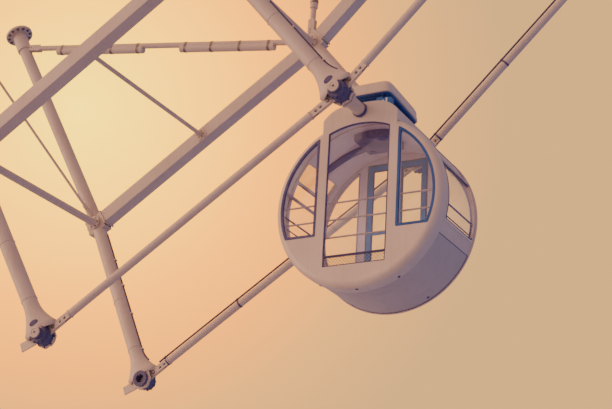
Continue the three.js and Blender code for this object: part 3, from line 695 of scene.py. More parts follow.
wheel = {
    "bay": 4.7,
    "cabins": 32,
    "station": -50.8,  # degrees, where the cabin hangs on the wheel
    "rimHalfGap": 1.095,
    "ringHalfGap": 1.41,
    "ringInset": 2.843,
    "innerInset": 6.67,
    "innerHalfGap": 1.105,
}
bayAngle = 360 / wheel["cabins"]
wheelRadius = wheel["bay"] / 2 / math.sin(math.radians(bayAngle / 2))
sides = {"near": -1, "far": 1}
stations = {"left": -1, "middle": 0, "right": 1}
bays = {"left": -1, "right": 0}


def radial(station):
    turn = math.radians(wheel["station"] + station * bayAngle)
    return Vector((math.cos(turn), 0, math.sin(turn)))


def wheelPoint(station, inset, y):
    point = radial(station) * (wheelRadius - inset) - radial(0) * wheelRadius
    point.y = y
    return point


def alongRim(station):
    return Vector((0, 1, 0)).cross(radial(station))


def rimNode(station, side):
    return wheelPoint(station, 0, side * wheel["rimHalfGap"])


def ringPoint(station, side):
    return wheelPoint(station, wheel["ringInset"], side * wheel["ringHalfGap"])


def innerPoint(station, side):
    return wheelPoint(station, wheel["innerInset"], side * wheel["innerHalfGap"])


def towards(start, end, distance):
    return start + (end - start).normalized() * distance


def addRimPiece(bm, name, material, replaced=()):
    return finishPiece(bm, name, "wheel_rim", material, replaced)


# Arms

armSizes = {
    "radius": 0.1,
    "flareLength": 0.46,
    "flarePower": 1.9,
    "flareSteps": 16,
    "shoulder": 0.1,
    "foot": 0.045,
    "footShares": (0.35, 0.7, 0.94),  # where the rings between shoulder and foot lie
    "footEdge": 0.003,
    "halfWidth": 0.235,
    "halfDepth": 0.118,
    "footWidth": 0.205,
    "wall": 0.016,
    "recess": 0.11,  # how far the open underside goes up
    "bead": 0.006,
    "beadHeights": (0.52, 1.38),
    "block": (0.27, 0.17),  # length and depth
    "blockPlate": 0.022,
    "plateSink": 0.002,
    "plateShare": (1.02, 0.98),  # of the block's depth and length
    "spokeRadius": 0.092,
    "neckRadius": 0.11,
    "neckOverlap": 0.06,
    "neckGap": 0.02,
    "flangeRadius": 0.21,
    "flangeThickness": 0.04,
    "flangeBolts": 12,
    "braceBack": 0.32,
    "braceLift": 0.09,
    "lug": (0.11, 0.06, 0.2),  # width, thickness and length
    "lugBoltsAt": (0.13, 0.175),
    "gusset": (0.12, 0.02, 0.345),
    "segments": 56,
}


def armFrame(station, side):
    # Z runs up the arm from the middle of its rim node, X along the rim, Y through the node
    return frameAt(rimNode(station, side), ringPoint(station, side), alongRim(station))


def armHalf(height):
    # half width and half depth of the arm, and of its flared node, at a height
    a = armSizes
    share = min(1, max(0, (a["flareLength"] - height) / (a["flareLength"] - a["shoulder"])))
    swell = share ** a["flarePower"]
    return [a["radius"] + (a[size] - a["radius"]) * swell for size in ("halfWidth", "halfDepth")]


def addFlare(bm, basis):
    # the flared node: rings from the round arm to the oval foot, then up into the open underside
    a = armSizes
    shape = []
    for i in range(a["flareSteps"] + 1):
        height = a["flareLength"] + (a["shoulder"] - a["flareLength"]) * i / a["flareSteps"]
        shape.append((height, *armHalf(height)))
    for share in a["footShares"]:
        height = a["shoulder"] + (a["foot"] - a["shoulder"]) * share
        width = a["halfWidth"] + (a["footWidth"] - a["halfWidth"]) * share ** 2
        shape.append((height, width, a["halfDepth"]))
    half, depth = a["footWidth"] - a["footEdge"], a["halfDepth"] - a["footEdge"]
    shape.append((a["foot"], half, depth))
    half, depth = half - a["wall"], depth - a["wall"]
    shape += [(a["foot"], half, depth), (a["foot"] + a["recess"], half, depth)]
    turns = [2 * math.pi * i / a["segments"] for i in range(a["segments"])]
    loops = [[pointOn(basis, half * math.cos(t), depth * math.sin(t), height) for t in turns]
             for height, half, depth in shape]
    addLoft(bm, loops, capped=True)


def braceEnds(station, side):
    start = ringPoint(0, side) - radial(0) * armSizes["braceLift"]
    end = innerPoint(station, side) + radial(station) * armSizes["braceBack"]
    return start, end


def addBraceLug(bm, start, end):
    width, thickness, length = armSizes["lug"]
    addBlock(bm, frameAt(start, end), (thickness, width, length), 0.006)


def lugsOf(station, side):
    # the ends of the braces that meet an arm, each with the point it runs to
    if station:
        return [braceEnds(station, side)[::-1]]
    return [braceEnds(way, side) for way in (-1, 1)]


def addRingBlock(bm, station, side):
    a = armSizes
    centre = ringPoint(station, side)
    size, depth = a["block"]
    deeper, shorter = a["plateShare"]
    basis = frameAt(centre - radial(station) * size / 2, centre)
    addBlock(bm, basis, (depth, size, size), 0.01)
    for way in (-1, 1):
        face = shifted(basis, 0, way * (size / 2 - a["plateSink"]), size / 2)
        plate = face @ Matrix.Diagonal((depth * deeper, a["blockPlate"], size * shorter, 1))
        made = bmesh.ops.create_cube(bm, size=1, matrix=plate)
        roundEdges(bm, made["verts"], 0.004)


def addSpoke(bm, station, side):
    a = armSizes
    end, outwards = innerPoint(station, side), radial(station)
    shaftEnd = end + outwards * a["braceBack"]
    addRod(bm, ringPoint(station, side), shaftEnd, a["spokeRadius"], 48)
    addRod(bm, shaftEnd + outwards * a["neckOverlap"], end + outwards * a["neckGap"],
           a["neckRadius"], 48, rounding=0.012)
    addRod(bm, end + outwards * a["flangeThickness"], end, a["flangeRadius"], 72, rounding=0.005)


def makeArm(name, station, side):
    a = armSizes
    basis = armFrame(station, side)
    centre, top = rimNode(station, side), ringPoint(station, side)
    bm = bmesh.new()
    addFlare(bm, basis)
    addRod(bm, towards(centre, top, a["flareLength"] - 0.01), top, a["radius"], a["segments"])
    for height in a["beadHeights"]:
        addTorus(bm, shifted(basis, 0, 0, height), a["radius"], a["bead"], a["segments"], 8)
    addRingBlock(bm, station, side)
    width, thickness, reach = a["gusset"]
    for way in (-1, 1):
        fin = frameAt(centre, rimNode(station + way, side))
        addBlock(bm, fin, (thickness, width, reach), 0.004)
    if station:
        addSpoke(bm, station, side)
    for start, end in lugsOf(station, side):
        addBraceLug(bm, start, end)
    addRimPiece(bm, name + "_casting", steelEnamel, replaced=[name])


# What is bolted to the arms

fittings = {
    "capRadius": 0.069,
    "capFace": 0.178,  # from the node's middle out to the cap's face
    "capBolts": 10,
    "bearingRadius": 0.12,
    "bearingFront": 0.116,  # in front of the node's middle
    "bearingBack": 0.118,
    "bearingBore": 0.058,
    "ribs": 12,
    "rib": (0.024, 0.014, 0.045),  # outwards, round the housing and along it
    "ringRadius": 0.147,
    "ringSpan": (-0.078, -0.05),
    "coverRadius": 0.132,
    "coverLobes": 8,
    "coverBore": 0.0686,
    "coverBead": (0.09, 0.01),  # radius of the ring and of its section
    "coverBoltRing": 0.116,
    "handHole": (0.062, 0.036),  # half width and half height
    "handHoleHeight": 0.165,
    "handPlate": 0.01,
    # distance from the node and head's radius
    "plateBolts": ((0.178, 0.021), (0.288, 0.0155), (0.36, 0.0155)),
    "conduitRadius": 0.0095,
    "conduitHeights": (0.25, 0.29, 0.33, 0.38, 0.44, 0.52, 0.7, 1.1, 1.5, 1.9, 2.3, 2.6),
    "clip": (0.026, 0.05, 0.026),  # along the arm, across it and outwards
    "clipHeights": (0.47, 1.1, 1.62, 2.1),
    "conduitArms": ("near_middle", "far_left", "far_right"),  # every other arm
}


def capFrame(station, side):
    # Z runs outwards through the node's outer face
    centre = rimNode(station, side)
    return frameAt(centre, centre + Vector((0, side, 0)), (1, 0, 0))


def makeHubCap(name, station, side):
    f = fittings
    cap = capFrame(station, side)
    r, face = f["capRadius"], f["capFace"]
    profile = [
        (r - 0.01, face - 0.03), (r - 0.003, face - 0.022), (r, face - 0.018),
        (r, face - 0.006), (r - 0.005, face), (r * 0.66, face), (r * 0.62, face - 0.007),
        (r * 0.56, face - 0.007), (r * 0.52, face - 0.001), (r * 0.27, face - 0.001),
        (r * 0.24, face - 0.009), (0, face - 0.009),
    ]
    bm = bmesh.new()
    addLathe(bm, profile, 56, cap)
    fillHoles(bm)
    addRimPiece(bm, name + "_hub_cap", steelEnamel)
    bm = bmesh.new()
    addRodOn(bm, cap, face - 0.012, face - 0.004, r * 0.2, 24)
    boltCircle(bm, shifted(cap, 0, 0, f["bearingFront"]), f["bearingRadius"] - 0.026, f["capBolts"],
               *boltSizes["hubCap"])
    addRimPiece(bm, name + "_hub_bolts", castingEnamel)


def lobedOutline(radius, lobes, depth=0.012, steps=160):
    # a flat ring outline with a lobe for each bolt
    outline = []
    for i in range(steps):
        turn = 2 * math.pi * i / steps
        reach = radius - depth * (0.5 - 0.5 * math.cos(lobes * turn)) ** 1.5
        outline.append((reach * math.cos(turn), reach * math.sin(turn)))
    return outline


def makeBearing(name, station, side):
    # the cast housing that shows under the node, with its ribs and bolts, in dark enamel; its nose
    # just behind the hub cap stands for the cap's shaded side, as painted shade
    f = fittings
    cap = capFrame(station, side)
    r, bore = f["bearingRadius"], f["bearingBore"]
    front, back = f["bearingFront"], -f["bearingBack"]
    profile = [
        (bore, front + 0.04), (0.064, front + 0.036), (0.072, front + 0.008), (0.078, front),
        (r - 0.016, front), (r - 0.008, front - 0.008), (r - 0.008, front - 0.06),
        (r, front - 0.07), (r, back + 0.05), (r - 0.012, back + 0.04), (r - 0.012, back),
        (bore, back),
    ]
    bm = bmesh.new()
    addLathe(bm, profile, 56, cap, closed=True)
    for i in range(f["ribs"]):
        turn = Matrix.Rotation(2 * math.pi * i / f["ribs"], 4, "Z")
        addBlock(bm, shifted(cap @ turn, r - 0.008, 0, front - 0.055), f["rib"], 0.003)
    low, high = f["ringSpan"]
    boltCircle(bm, shifted(cap, 0, 0, high), f["ringRadius"] - 0.014, f["coverLobes"],
               *boltSizes["bearing"])
    addRimPiece(bm, name + "_bearing_housing", castingEnamel)
    bm = bmesh.new()
    outside = lobedOutline(f["ringRadius"], f["coverLobes"])
    inside = lobedOutline(r - 0.02, 1, 0)
    loops = [[pointOn(cap, x, y, z) for x, y in outline] for outline, z in
             ((outside, low), (outside, high), (inside, high), (inside, low))]
    roundEdges(bm, addLoft(bm, loops, closed=True), 0.003)
    addRimPiece(bm, name + "_bearing_ring", steelEnamel)


def makeBearingCover(name, side):
    # the scalloped cover the axle leaves the housing through, on the cabin's side
    f = fittings
    low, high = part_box(name)
    y0, y1 = (low - axleAt).y, (high - axleAt).y
    bm = bmesh.new()
    addSlab(bm, lobedOutline(f["coverRadius"], f["coverLobes"]), y0, y1, 0.003)
    tool = bmesh.new()
    addRod(tool, Vector((0, y0 - 0.1, 0)), Vector((0, y1 + 0.1, 0)), f["coverBore"], 56)
    bm = carve(bm, tool)
    face = y0 if side > 0 else y1
    basis = frameAt(Vector((0, face, 0)), Vector((0, face - side, 0)), (1, 0, 0))
    addTorus(bm, shifted(basis, 0, 0, 0.002), *f["coverBead"], 56, 10)
    addRimPiece(bm, name + "_cover", steelEnamel, [name])
    bm = bmesh.new()
    boltCircle(bm, basis, f["coverBoltRing"], f["coverLobes"], *boltSizes["cover"])
    addRimPiece(bm, name + "_cover_bolts", castingEnamel)


def makeHandHole(name, station, side):
    # an oval inspection hole with a dark plate set in it, on the node's outer face
    f = fittings
    basis = armFrame(station, side)
    half, tall = f["handHole"]
    outwards = 1 if wayOf(basis, 0, 1, 0).y * side > 0 else -1
    depth = armHalf(f["handHoleHeight"])[1] - 0.007
    place = shifted(basis, 0, outwards * depth, f["handHoleHeight"]) @ turned(-90 * outwards, "X")
    bm = bmesh.new()
    oval = place @ Matrix.Diagonal((half, tall, 1, 1))
    made = bmesh.ops.create_circle(bm, segments=40, radius=1, matrix=oval)
    rim = {e for v in made["verts"] for e in v.link_edges}
    face = bmesh.ops.edgeloop_fill(bm, edges=list(rim))["faces"][0]
    pushFace(bm, face, wayOf(place, 0, 0, f["handPlate"]))
    roundEdges(bm, list(bm.verts), 0.002)
    for way in (-1, 1):
        at = pointOn(place, way * half * 0.72, 0, f["handPlate"] - 0.001)
        addBolt(bm, at, wayOf(place, 0, 0, 1), *boltSizes["handHole"])
    addRimPiece(bm, name + "_hand_hole_plate", castingEnamel)


def makeArmBolts(name, station, side):
    # bolts on the ring joint's plates, the braces' lugs and the spoke's flange
    bm = bmesh.new()
    a = armSizes
    centre = ringPoint(station, side)
    size, depth = a["block"]
    basis = frameAt(centre, centre + radial(station), (0, 1, 0))
    for way in (-1, 1):
        face = way * (size / 2 + a["blockPlate"] / 2 - a["plateSink"])
        for u in (-1, 1):
            for v in (-1, 0, 1):
                at = pointOn(basis, u * depth * 0.38, face, v * size * 0.36)
                addBolt(bm, at, wayOf(basis, 0, way, 0), *boltSizes["ringJoint"])
    if station:
        end, outwards = innerPoint(station, side), radial(station)
        ring = frameAt(end + outwards * a["flangeThickness"], end + outwards * 2, (0, 1, 0))
        boltCircle(bm, ring, a["flangeRadius"] * 0.8, a["flangeBolts"], *boltSizes["spokeFlange"])
    for start, end in lugsOf(station, side):
        plate = frameAt(start, end)
        for along in a["lugBoltsAt"]:
            for way in (-1, 1):
                at = pointOn(plate, way * (a["lug"][1] / 2 + 0.001), 0, along)
                addBolt(bm, at, wayOf(plate, way, 0, 0), *boltSizes["braceLug"])
    addRimPiece(bm, name + "_bolts", zinc)


def tubeFromPath(points, radius, around=4):
    # a round tube along a smooth path, as a mesh
    curve = bpy.data.curves.new("path", "CURVE")
    curve.dimensions = "3D"
    curve.bevel_depth = radius
    curve.bevel_resolution = around
    curve.resolution_u = 6
    curve.use_fill_caps = True
    spline = curve.splines.new("NURBS")
    spline.points.add(len(points) - 1)
    for point, at in zip(spline.points, points):
        point.co = (*at, 1)
    spline.use_endpoint_u = True
    spline.order_u = 3
    path = linkObject("path", curve)
    bpy.context.view_layer.update()
    finished = path.evaluated_get(bpy.context.evaluated_depsgraph_get())
    mesh = bpy.data.meshes.new_from_object(finished)
    bm = bmesh.new()
    bm.from_mesh(mesh)
    bpy.data.objects.remove(path)
    bpy.data.curves.remove(curve)
    bpy.data.meshes.remove(mesh)
    return bm


def makeConduit(name, station, side):
    # the steel cable conduit clipped along the arm's lower edge and on down the flare
    f = fittings
    basis = armFrame(station, side)
    way = 1 if wayOf(basis, 1, 0, 0).x > 0 else -1
    reach = f["conduitRadius"] - 0.002
    path = [pointOn(basis, way * (armHalf(height)[0] + reach), 0, height)
            for height in f["conduitHeights"]]
    bm = tubeFromPath(path, f["conduitRadius"])
    addRimPiece(bm, name + "_conduit", castingEnamel)
    bm = bmesh.new()
    for height in f["clipHeights"]:
        at = pointOn(basis, way * armHalf(height)[0], 0, height)
        clip = frameAt(at, at + wayOf(basis, way, 0, 0), wayOf(basis, 0, 0, 1))
        addBlock(bm, shifted(clip, 0, 0, -0.004), f["clip"], 0.004)
    addRimPiece(bm, name + "_conduit_clips", steelEnamel)


for hand, station in stations.items():
    for rim, side in sides.items():
        armName = f"arm_{rim}_{hand}"
        makeArm(armName, station, side)
        makeHubCap(armName, station, side)
        makeBearing(armName, station, side)
        makeHandHole(armName, station, side)
        makeArmBolts(armName, station, side)
        if f"{rim}_{hand}" in fittings["conduitArms"]:
            makeConduit(armName, station, side)
for rim, side in sides.items():
    makeBearingCover(f"bearing_flange_{rim}", side)
print("arms made")


# Rim tubes, ring beams and bracing

tubeSizes = {
    "radius": 0.05,
    "end": 0.43,
    "collar": (0.004, 0.018, 0.007),  # gap to the tube's end, length and height
    "splice": (0.096, 0.012),  # width and thickness
    "spliceSpan": (0.142, 0.434),
    "spliceOffset": 0.0163,
    "railOffset": 0.081,
    "railRadius": 0.013,
    "railEnd": 0.31,
    "clampAt": (0.09, 0.36, 0.64, 0.91),
    "clampWidth": 0.024,
    "clampHeight": 0.004,
    "beam": 0.2,
    "beamGap": 0.1353,
    "beamFlange": (0.012, 0.022, 0.03),  # from the beam's end, thickness and extra width
    "beamBoltAt": 0.094,
    "beamPlate": (0.012, 0.15, 0.16),  # thickness, height and length
    "braceRadius": 0.042,
    "clevis": (0.012, 0.1, 0.24),  # thickness, width and length of one plate
    "clevisAt": (0.037, 0.1),  # aside and along
    "ferrule": (0.21, 0.3, 0.052, 0.044),  # start, end and the radii there
    "lampRadius": 0.058,
    "lampDrop": 0.062,
    "lampSpans": ((0.08, 0.42), (0.56, 0.9)),
    "strapShares": (0.06, 0.36, 0.66, 0.94),
    "strapWidth": 0.04,
    "crossRadius": 0.054,
    "crossPlate": 0.1,
    "strutRadius": 0.03,
    "strutPlate": 0.065,
    "memberPlate": 0.016,
    "tieRadius": 0.02,
    "tieBack": 0.16,
    "tieForkAt": (0.17, 0.2),
}


def addSplice(bm, bolts, start, end):
    # two plates that clamp a rim tube's flattened end to the fin on a node
    t = tubeSizes
    width, thickness = t["splice"]
    low, high = t["spliceSpan"]
    basis = frameAt(start, end)
    for way in (-1, 1):
        plate = shifted(basis, way * t["spliceOffset"], 0, low)
        addBlock(bm, plate, (thickness, width, high - low), 0.004)
        for along, size in fittings["plateBolts"]:
            at = pointOn(basis, way * (t["spliceOffset"] + thickness / 2), 0, along)
            addBolt(bolts, at, wayOf(basis, way, 0, 0), size, boltSizes["spliceHeight"])


def makeRimTube(name, bay, side):
    t = tubeSizes
    start, end = rimNode(bay, side), rimNode(bay + 1, side)
    bm, bolts = bmesh.new(), bmesh.new()
    addRod(bm, towards(start, end, t["end"]), towards(end, start, t["end"]), t["radius"], 48,
           rounding=0.01)
    gap, length, height = t["collar"]
    for here, there in ((start, end), (end, start)):
        addSplice(bm, bolts, here, there)
        neck = frameAt(towards(here, there, t["end"] + gap), there)
        addRodOn(bm, neck, 0, length, t["radius"] + height, 48, rounding=0.003)
    addRimPiece(bm, name + "_tube", steelEnamel, replaced=[name])
    addRimPiece(bolts, name + "_bolts", zinc)
    if side > 0:
        makeLightRail(name, start, end)


def makeLightRail(name, start, end):
    # a thin dark rail for lamps on the hub's side of the far rim tube, clamped to it
    t = tubeSizes
    across = wayOf(frameAt(start, end), 0, 1, 0)
    hub = wheelPoint(0, wheelRadius, 0) - start
    shift = across * math.copysign(t["railOffset"], across.dot(hub))
    low, high = towards(start, end, t["railEnd"]), towards(end, start, t["railEnd"])
    bm, clamps = bmesh.new(), bmesh.new()
    addRod(bm, low + shift, high + shift, t["railRadius"], 20, rounding=0.003)
    wide = (high - low).normalized() * t["clampWidth"]
    for share in t["clampAt"]:
        at = start.lerp(end, share) - wide / 2
        addRod(clamps, at, at + wide, t["radius"] + t["clampHeight"], 40, rounding=0.0015)
        addRod(clamps, at + shift, at + shift + wide, t["railRadius"] + t["clampHeight"], 20,
               rounding=0.0015)
        addRod(clamps, at + wide / 2, at + wide / 2 + shift, 0.01, 12)
    addRimPiece(bm, name + "_light_rail", castingEnamel)
    addRimPiece(clamps, name + "_rail_clamps", castingEnamel)


def makeRingBeam(name, bay, side):
    t = tubeSizes
    start, end = ringPoint(bay, side), ringPoint(bay + 1, side)
    low, high = towards(start, end, t["beamGap"]), towards(end, start, t["beamGap"])
    basis = frameAt(low, high)
    bm, bolts = bmesh.new(), bmesh.new()
    length = (high - low).length
    addBlock(bm, basis, (t["beam"], t["beam"], length), 0.014)
    back, thickness, wider = t["beamFlange"]
    width = t["beam"] + wider
    for along in (back, length - back - thickness):
        addBlock(bm, shifted(basis, 0, 0, along), (width, width, thickness), 0.004)
    for along, inwards in ((back + thickness, 1), (length - back - thickness, -1)):
        for u in (-1, 1):
            for v in (-1, 1):
                at = pointOn(basis, u * t["beamBoltAt"], v * t["beamBoltAt"], along)
                addBolt(bolts, at, wayOf(basis, 0, 0, inwards), *boltSizes["beam"])
    plate = t["beamPlate"]
    place = shifted(basis, -side * (t["beam"] / 2 + 0.004), 0, length / 2 - plate[2] / 2)
    addBlock(bm, place, plate, 0.003)
    addRimPiece(bm, name + "_box_section", steelEnamel, replaced=[name])
    addRimPiece(bolts, name + "_bolts", zinc)


def makePlaneBrace(name, station, side):
    # a round diagonal with a clevis at each end and two lamp tubes slung under it
    t = tubeSizes
    start, end = braceEnds(station, side)
    lugEnd = armSizes["lug"][2] + 0.002
    low, high = towards(start, end, lugEnd), towards(end, start, lugEnd)
    bm, lamps, straps = bmesh.new(), bmesh.new(), bmesh.new()
    addRod(bm, low, high, t["braceRadius"], 40)
    offset, along = t["clevisAt"]
    first, last, wide, narrow = t["ferrule"]
    for here, there in ((start, end), (end, start)):
        clevis = frameAt(here, there)
        for way in (-1, 1):
            addBlock(bm, shifted(clevis, way * offset, 0, along), t["clevis"], 0.004)
        addRodOn(bm, clevis, first, last, wide, 32, narrow, 0.004)
    drop = Vector((0, 0, -t["lampDrop"]))
    back = (high - low).normalized() * t["strapWidth"] / 2
    for first, last in t["lampSpans"]:
        tubeStart, tubeEnd = low.lerp(high, first) + drop, low.lerp(high, last) + drop
        addRod(lamps, tubeStart, tubeEnd, t["lampRadius"], 40, rounding=0.01)
        for share in t["strapShares"]:
            at = tubeStart.lerp(tubeEnd, share)
            strap, band = frameAt(at - back, high + drop), frameAt(at - drop - back, high)
            lampStrap, tubeBand = t["lampRadius"] + 0.004, t["braceRadius"] + 0.005
            for place, radius in ((strap, lampStrap), (band, tubeBand)):
                addRodOn(straps, place, 0, t["strapWidth"], radius, 32, rounding=0.002)
    addRimPiece(bm, name + "_diagonal", steelEnamel, replaced=[name])
    addRimPiece(lamps, name + "_lamp_tubes", steelEnamel)
    addRimPiece(straps, name + "_straps", zinc)


def makeMember(name, radius, plate):
    # a round member across the wheel between two end plates with bolts
    low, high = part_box(name)
    low, high = low - axleAt, high - axleAt
    x, z = (low.x + high.x) / 2, (low.z + high.z) / 2
    thickness = tubeSizes["memberPlate"]
    bm, bolts = bmesh.new(), bmesh.new()
    addRod(bm, Vector((x, low.y, z)), Vector((x, high.y, z)), radius, 40)
    for y, way in ((low.y, 1), (high.y, -1)):
        face = frameAt(Vector((x, y, z)), Vector((x, y + way, z)), radial(0))
        addRodOn(bm, face, 0, thickness, plate, 40, rounding=0.003)
        addRodOn(bm, face, 0.012, 0.05, radius * 1.3, 32, radius * 1.02)
        boltCircle(bolts, shifted(face, 0, 0, thickness), plate * 0.78, 6, *boltSizes["member"])
    addRimPiece(bm, name + "_member", steelEnamel, replaced=[name])
    addRimPiece(bolts, name + "_bolts", zinc)


def makeTie(name, station):
    # a thin rod with a fork and a nut at each end
    t = tubeSizes
    start = ringPoint(station, 1)
    end = innerPoint(station, -1) + radial(station) * t["tieBack"]
    bm = bmesh.new()
    addRod(bm, start, end, t["tieRadius"], 24)
    for here, there, back in zip((start, end), (end, start), t["tieForkAt"]):
        fork = frameAt(towards(here, there, back), there)
        addRodOn(bm, fork, 0, 0.14, 0.03, 24, 0.026, 0.004)
        addRodOn(bm, fork, 0.14, 0.2, 0.033, 6)
    addRimPiece(bm, name + "_rod", steelEnamel, replaced=[name])


for rim, side in sides.items():
    for hand, bay in bays.items():
        makeRimTube(f"rim_tube_{rim}_{hand}", bay, side)
        makeRingBeam(f"ring_beam_{rim}_{hand}", bay, side)
        makePlaneBrace(f"plane_brace_{rim}_{hand}", 1 if bay == 0 else -1, side)
for hand in stations:
    makeMember(f"cross_member_{hand}", tubeSizes["crossRadius"], tubeSizes["crossPlate"])
for hand in bays:
    makeMember(f"mid_strut_{hand}", tubeSizes["strutRadius"], tubeSizes["strutPlate"])
    makeTie(f"tie_rod_{hand}", stations[hand])
print("rim tubes, beams and bracing made")


# Cabin shapes, as the frame has them

cabin = {
    "drop": 1.142,  # from the axle down to the drum's middle
    "face": 0.564,
    "shell": 0.03,
    "dish": 1.072,
    "barrel": 1.055,
    "frontRim": -0.352,
    "rearRim": 0.52,
    "frontRounding": 0.084,
    "rearRounding": 0.036,
    "discEdge": 0.93,  # where the flat middle of a face is closed by one large face
    "roofAngle": 35,
    "bellyAngle": -25,
    "gap": 0.0003,
    "faceCut": (0.5, 0.7),  # Y between which the openings are cut in the faces
    "segments": 160,
    "fasciaBottom": -0.42,
    "fasciaRounding": 0.02,
    "axleRadius": 0.068,
    "axleHole": 0.0683,
}
drum = Matrix.Translation((0, 0, -cabin["drop"])) @ turned(-90, "X")
hands = {"left": -1, "right": 1}


def addCabinPiece(bm, name, material, replaced=(), sharp=32):
    return finishPiece(bm, name, "cabin", material, replaced, sharp)


def drumPoint(angle, radius, y):
    turn = math.radians(angle)
    return Vector((radius * math.cos(turn), y, radius * math.sin(turn) - cabin["drop"]))


def sideAngle(side, angle):
    # an angle on the drum's right side, or the same one on its left
    return angle if side > 0 else 180 - angle


def sideSpan(side, low, high):
    return (low, high) if side > 0 else (180 - high, 180 - low)


def arcPoints(radius, first, last, steps):
    # points of X and Z round the drum's middle
    turns = [math.radians(first + (last - first) * i / steps) for i in range(steps + 1)]
    return [(radius * math.cos(t), radius * math.sin(t) - cabin["drop"]) for t in turns]


def roundCorners(outline, radius, steps=5):
    # a flat outline with each corner of more than 25 degrees turned into an arc
    points = []
    for i, middle in enumerate(outline):
        here = Vector(middle)
        before, after = Vector(outline[i - 1]), Vector(outline[(i + 1) % len(outline)])
        inwards, outwards = (before - here), (after - here)
        turn = math.pi - inwards.angle(outwards)
        if turn < math.radians(25):
            points.append(middle)
            continue
        reach = radius * math.tan(turn / 2)
        start, end = here + inwards.normalized() * reach, here + outwards.normalized() * reach
        for k in range(steps + 1):
            share = k / steps
            point = start * (1 - share) ** 2 + here * 2 * share * (1 - share) + end * share ** 2
            points.append((point.x, point.y))
    return points


def flatLoop(outline, y):
    return [Vector((x, y, z)) for x, z in outline]


def addFrame(bm, outer, inner, y0, y1, rounding):
    # a frame between two outlines of as many points, from y0 to y1
    loops = [flatLoop(outline, y) for outline, y in
             ((outer, y0), (inner, y0), (inner, y1), (outer, y1))]
    roundEdges(bm, addLoft(bm, loops, closed=True), rounding)


def addSideBox(bm, side, spanX, spanY, spanZ, rounding):
    # a box on the right side, or the same one on the left
    x0, x1 = sorted(side * x for x in spanX)
    addBox(bm, (x0, spanY[0], spanZ[0]), (x1, spanY[1], spanZ[1]), rounding)


# Outlines of the openings and the fascia, drawn in by an inset

outlineSizes = {
    "half": 0.4,  # of the middle window and the doorway
    "bottom": 1.936,  # below the axle
    "centreRadius": 0.978,
    "centreSill": 1.81,  # the foot of the middle pane, below the axle
    "doorTop": 0.235,
    "faceRadius": 0.996,
    "faceInner": 0.517,
    "faceSill": 1.54,
    "arcSteps": 24,
    "roofHalf": 0.494,
    "roofEdge": -0.062,
    "roofCrown": 0.103,
    "roofBow": 3.9,  # how late the crown falls off
    "roofSteps": 28,
    "barrelCut": (0.95, 1.15),  # the radii between which a window is cut in the barrel
}
barrelWindow = {"angles": (-15, 25), "ends": (-0.3, 0.485), "corner": 0.045}
ventWindow = {"angles": (26.0, 40.6), "ends": (-0.335, 0.43), "corner": 0.03}


def boxOutline(x0, x1, z0, z1):
    return [(x0, z0), (x1, z0), (x1, z1), (x0, z1)]


def centreOutline(inset, bottom=outlineSizes["bottom"]):
    o = outlineSizes
    half, radius = o["half"] - inset, o["centreRadius"] - inset
    spring = math.degrees(math.asin(half / radius))
    foot = [(-half, inset - bottom), (half, inset - bottom)]
    return foot + arcPoints(radius, 90 - spring, 90 + spring, o["arcSteps"])


def faceOutline(side, inset):
    o = outlineSizes
    radius, x, sill = o["faceRadius"] - inset, o["faceInner"] + inset, o["faceSill"] - inset
    low = math.degrees(math.asin((cabin["drop"] - sill) / radius))
    high = math.degrees(math.acos(x / radius))
    foot = [(x, -sill), (radius * math.cos(math.radians(low)), -sill)]
    outline = foot + arcPoints(radius, low, high, o["arcSteps"])[1:]
    return [(side * px, pz) for px, pz in outline]


def doorOutline(inset):
    o = outlineSizes
    half = o["half"] - inset
    return boxOutline(-half, half, inset - o["bottom"], -o["doorTop"] - inset)


def barrelOutline(inset, window=barrelWindow):
    # angle and Y of a window in the barrel, with the corners rounded, angle in degrees
    reach = math.degrees(1 / cabin["barrel"])
    low, high = window["angles"][0] / reach + inset, window["angles"][1] / reach - inset
    front, rear = window["ends"][0] + inset, window["ends"][1] - inset
    outline = [(low, front), (high, front), (high, rear), (low, rear)]
    rounded = roundCorners(outline, max(window["corner"] - inset, 0.012), 6)
    steps = []
    for i, (s, y) in enumerate(rounded):
        s2, y2 = rounded[(i + 1) % len(rounded)]
        parts = 18 if abs(s2 - s) > 0.2 else 1
        steps += [(s + (s2 - s) * k / parts, y + (y2 - y) * k / parts) for k in range(parts)]
    return [(s * reach, y) for s, y in steps]


def barrelLoop(outline, radius, side):
    return [drumPoint(sideAngle(side, angle), radius, y) for angle, y in outline]


def barrelTool(tool, window, side):
    outline = barrelOutline(0, window)
    addLoft(tool, [barrelLoop(outline, radius, side) for radius in outlineSizes["barrelCut"]],
            capped=True)


def roofOutline(inset=0.0, bottom=cabin["fasciaBottom"]):
    # cheeks and a low crowned top
    o = outlineSizes
    half, edge, crown = (o[key] - inset for key in ("roofHalf", "roofEdge", "roofCrown"))
    right = []
    for i in range(o["roofSteps"] + 1):
        t = i / o["roofSteps"]
        right.append((half * (1 - t), crown - (crown - edge) * (1 - t) ** o["roofBow"]))
    left = [(-x, z) for x, z in reversed(right[:-1])]
    return [(-half, bottom), (half, bottom)] + right + left


# Cabin walls

def addFascia(bm, y0, y1, outwards):
    # the flat upper plate of a face, with its free outer edges rounded over
    c = cabin
    verts = addSlab(bm, roundCorners(roofOutline(), 0.03), y0, y1)
    face = y0 if outwards < 0 else y1
    inside = set(verts)
    edges = {e for v in verts for e in v.link_edges if e.other_vert(v) in inside
             and all(abs(p.co.y - face) < 1e-5 for p in e.verts)
             and max(p.co.z for p in e.verts) > c["fasciaBottom"] + 0.01}
    bmesh.ops.bevel(bm, geom=list(edges), offset=c["fasciaRounding"], affect="EDGES", segments=5,
                    profile=0.5, material=-1)


def spunDrum(profile):
    # a solid spun from its profile round the drum's middle
    bm = bmesh.new()
    addLathe(bm, profile, cabin["segments"], drum)
    fillHoles(bm)
    return bm


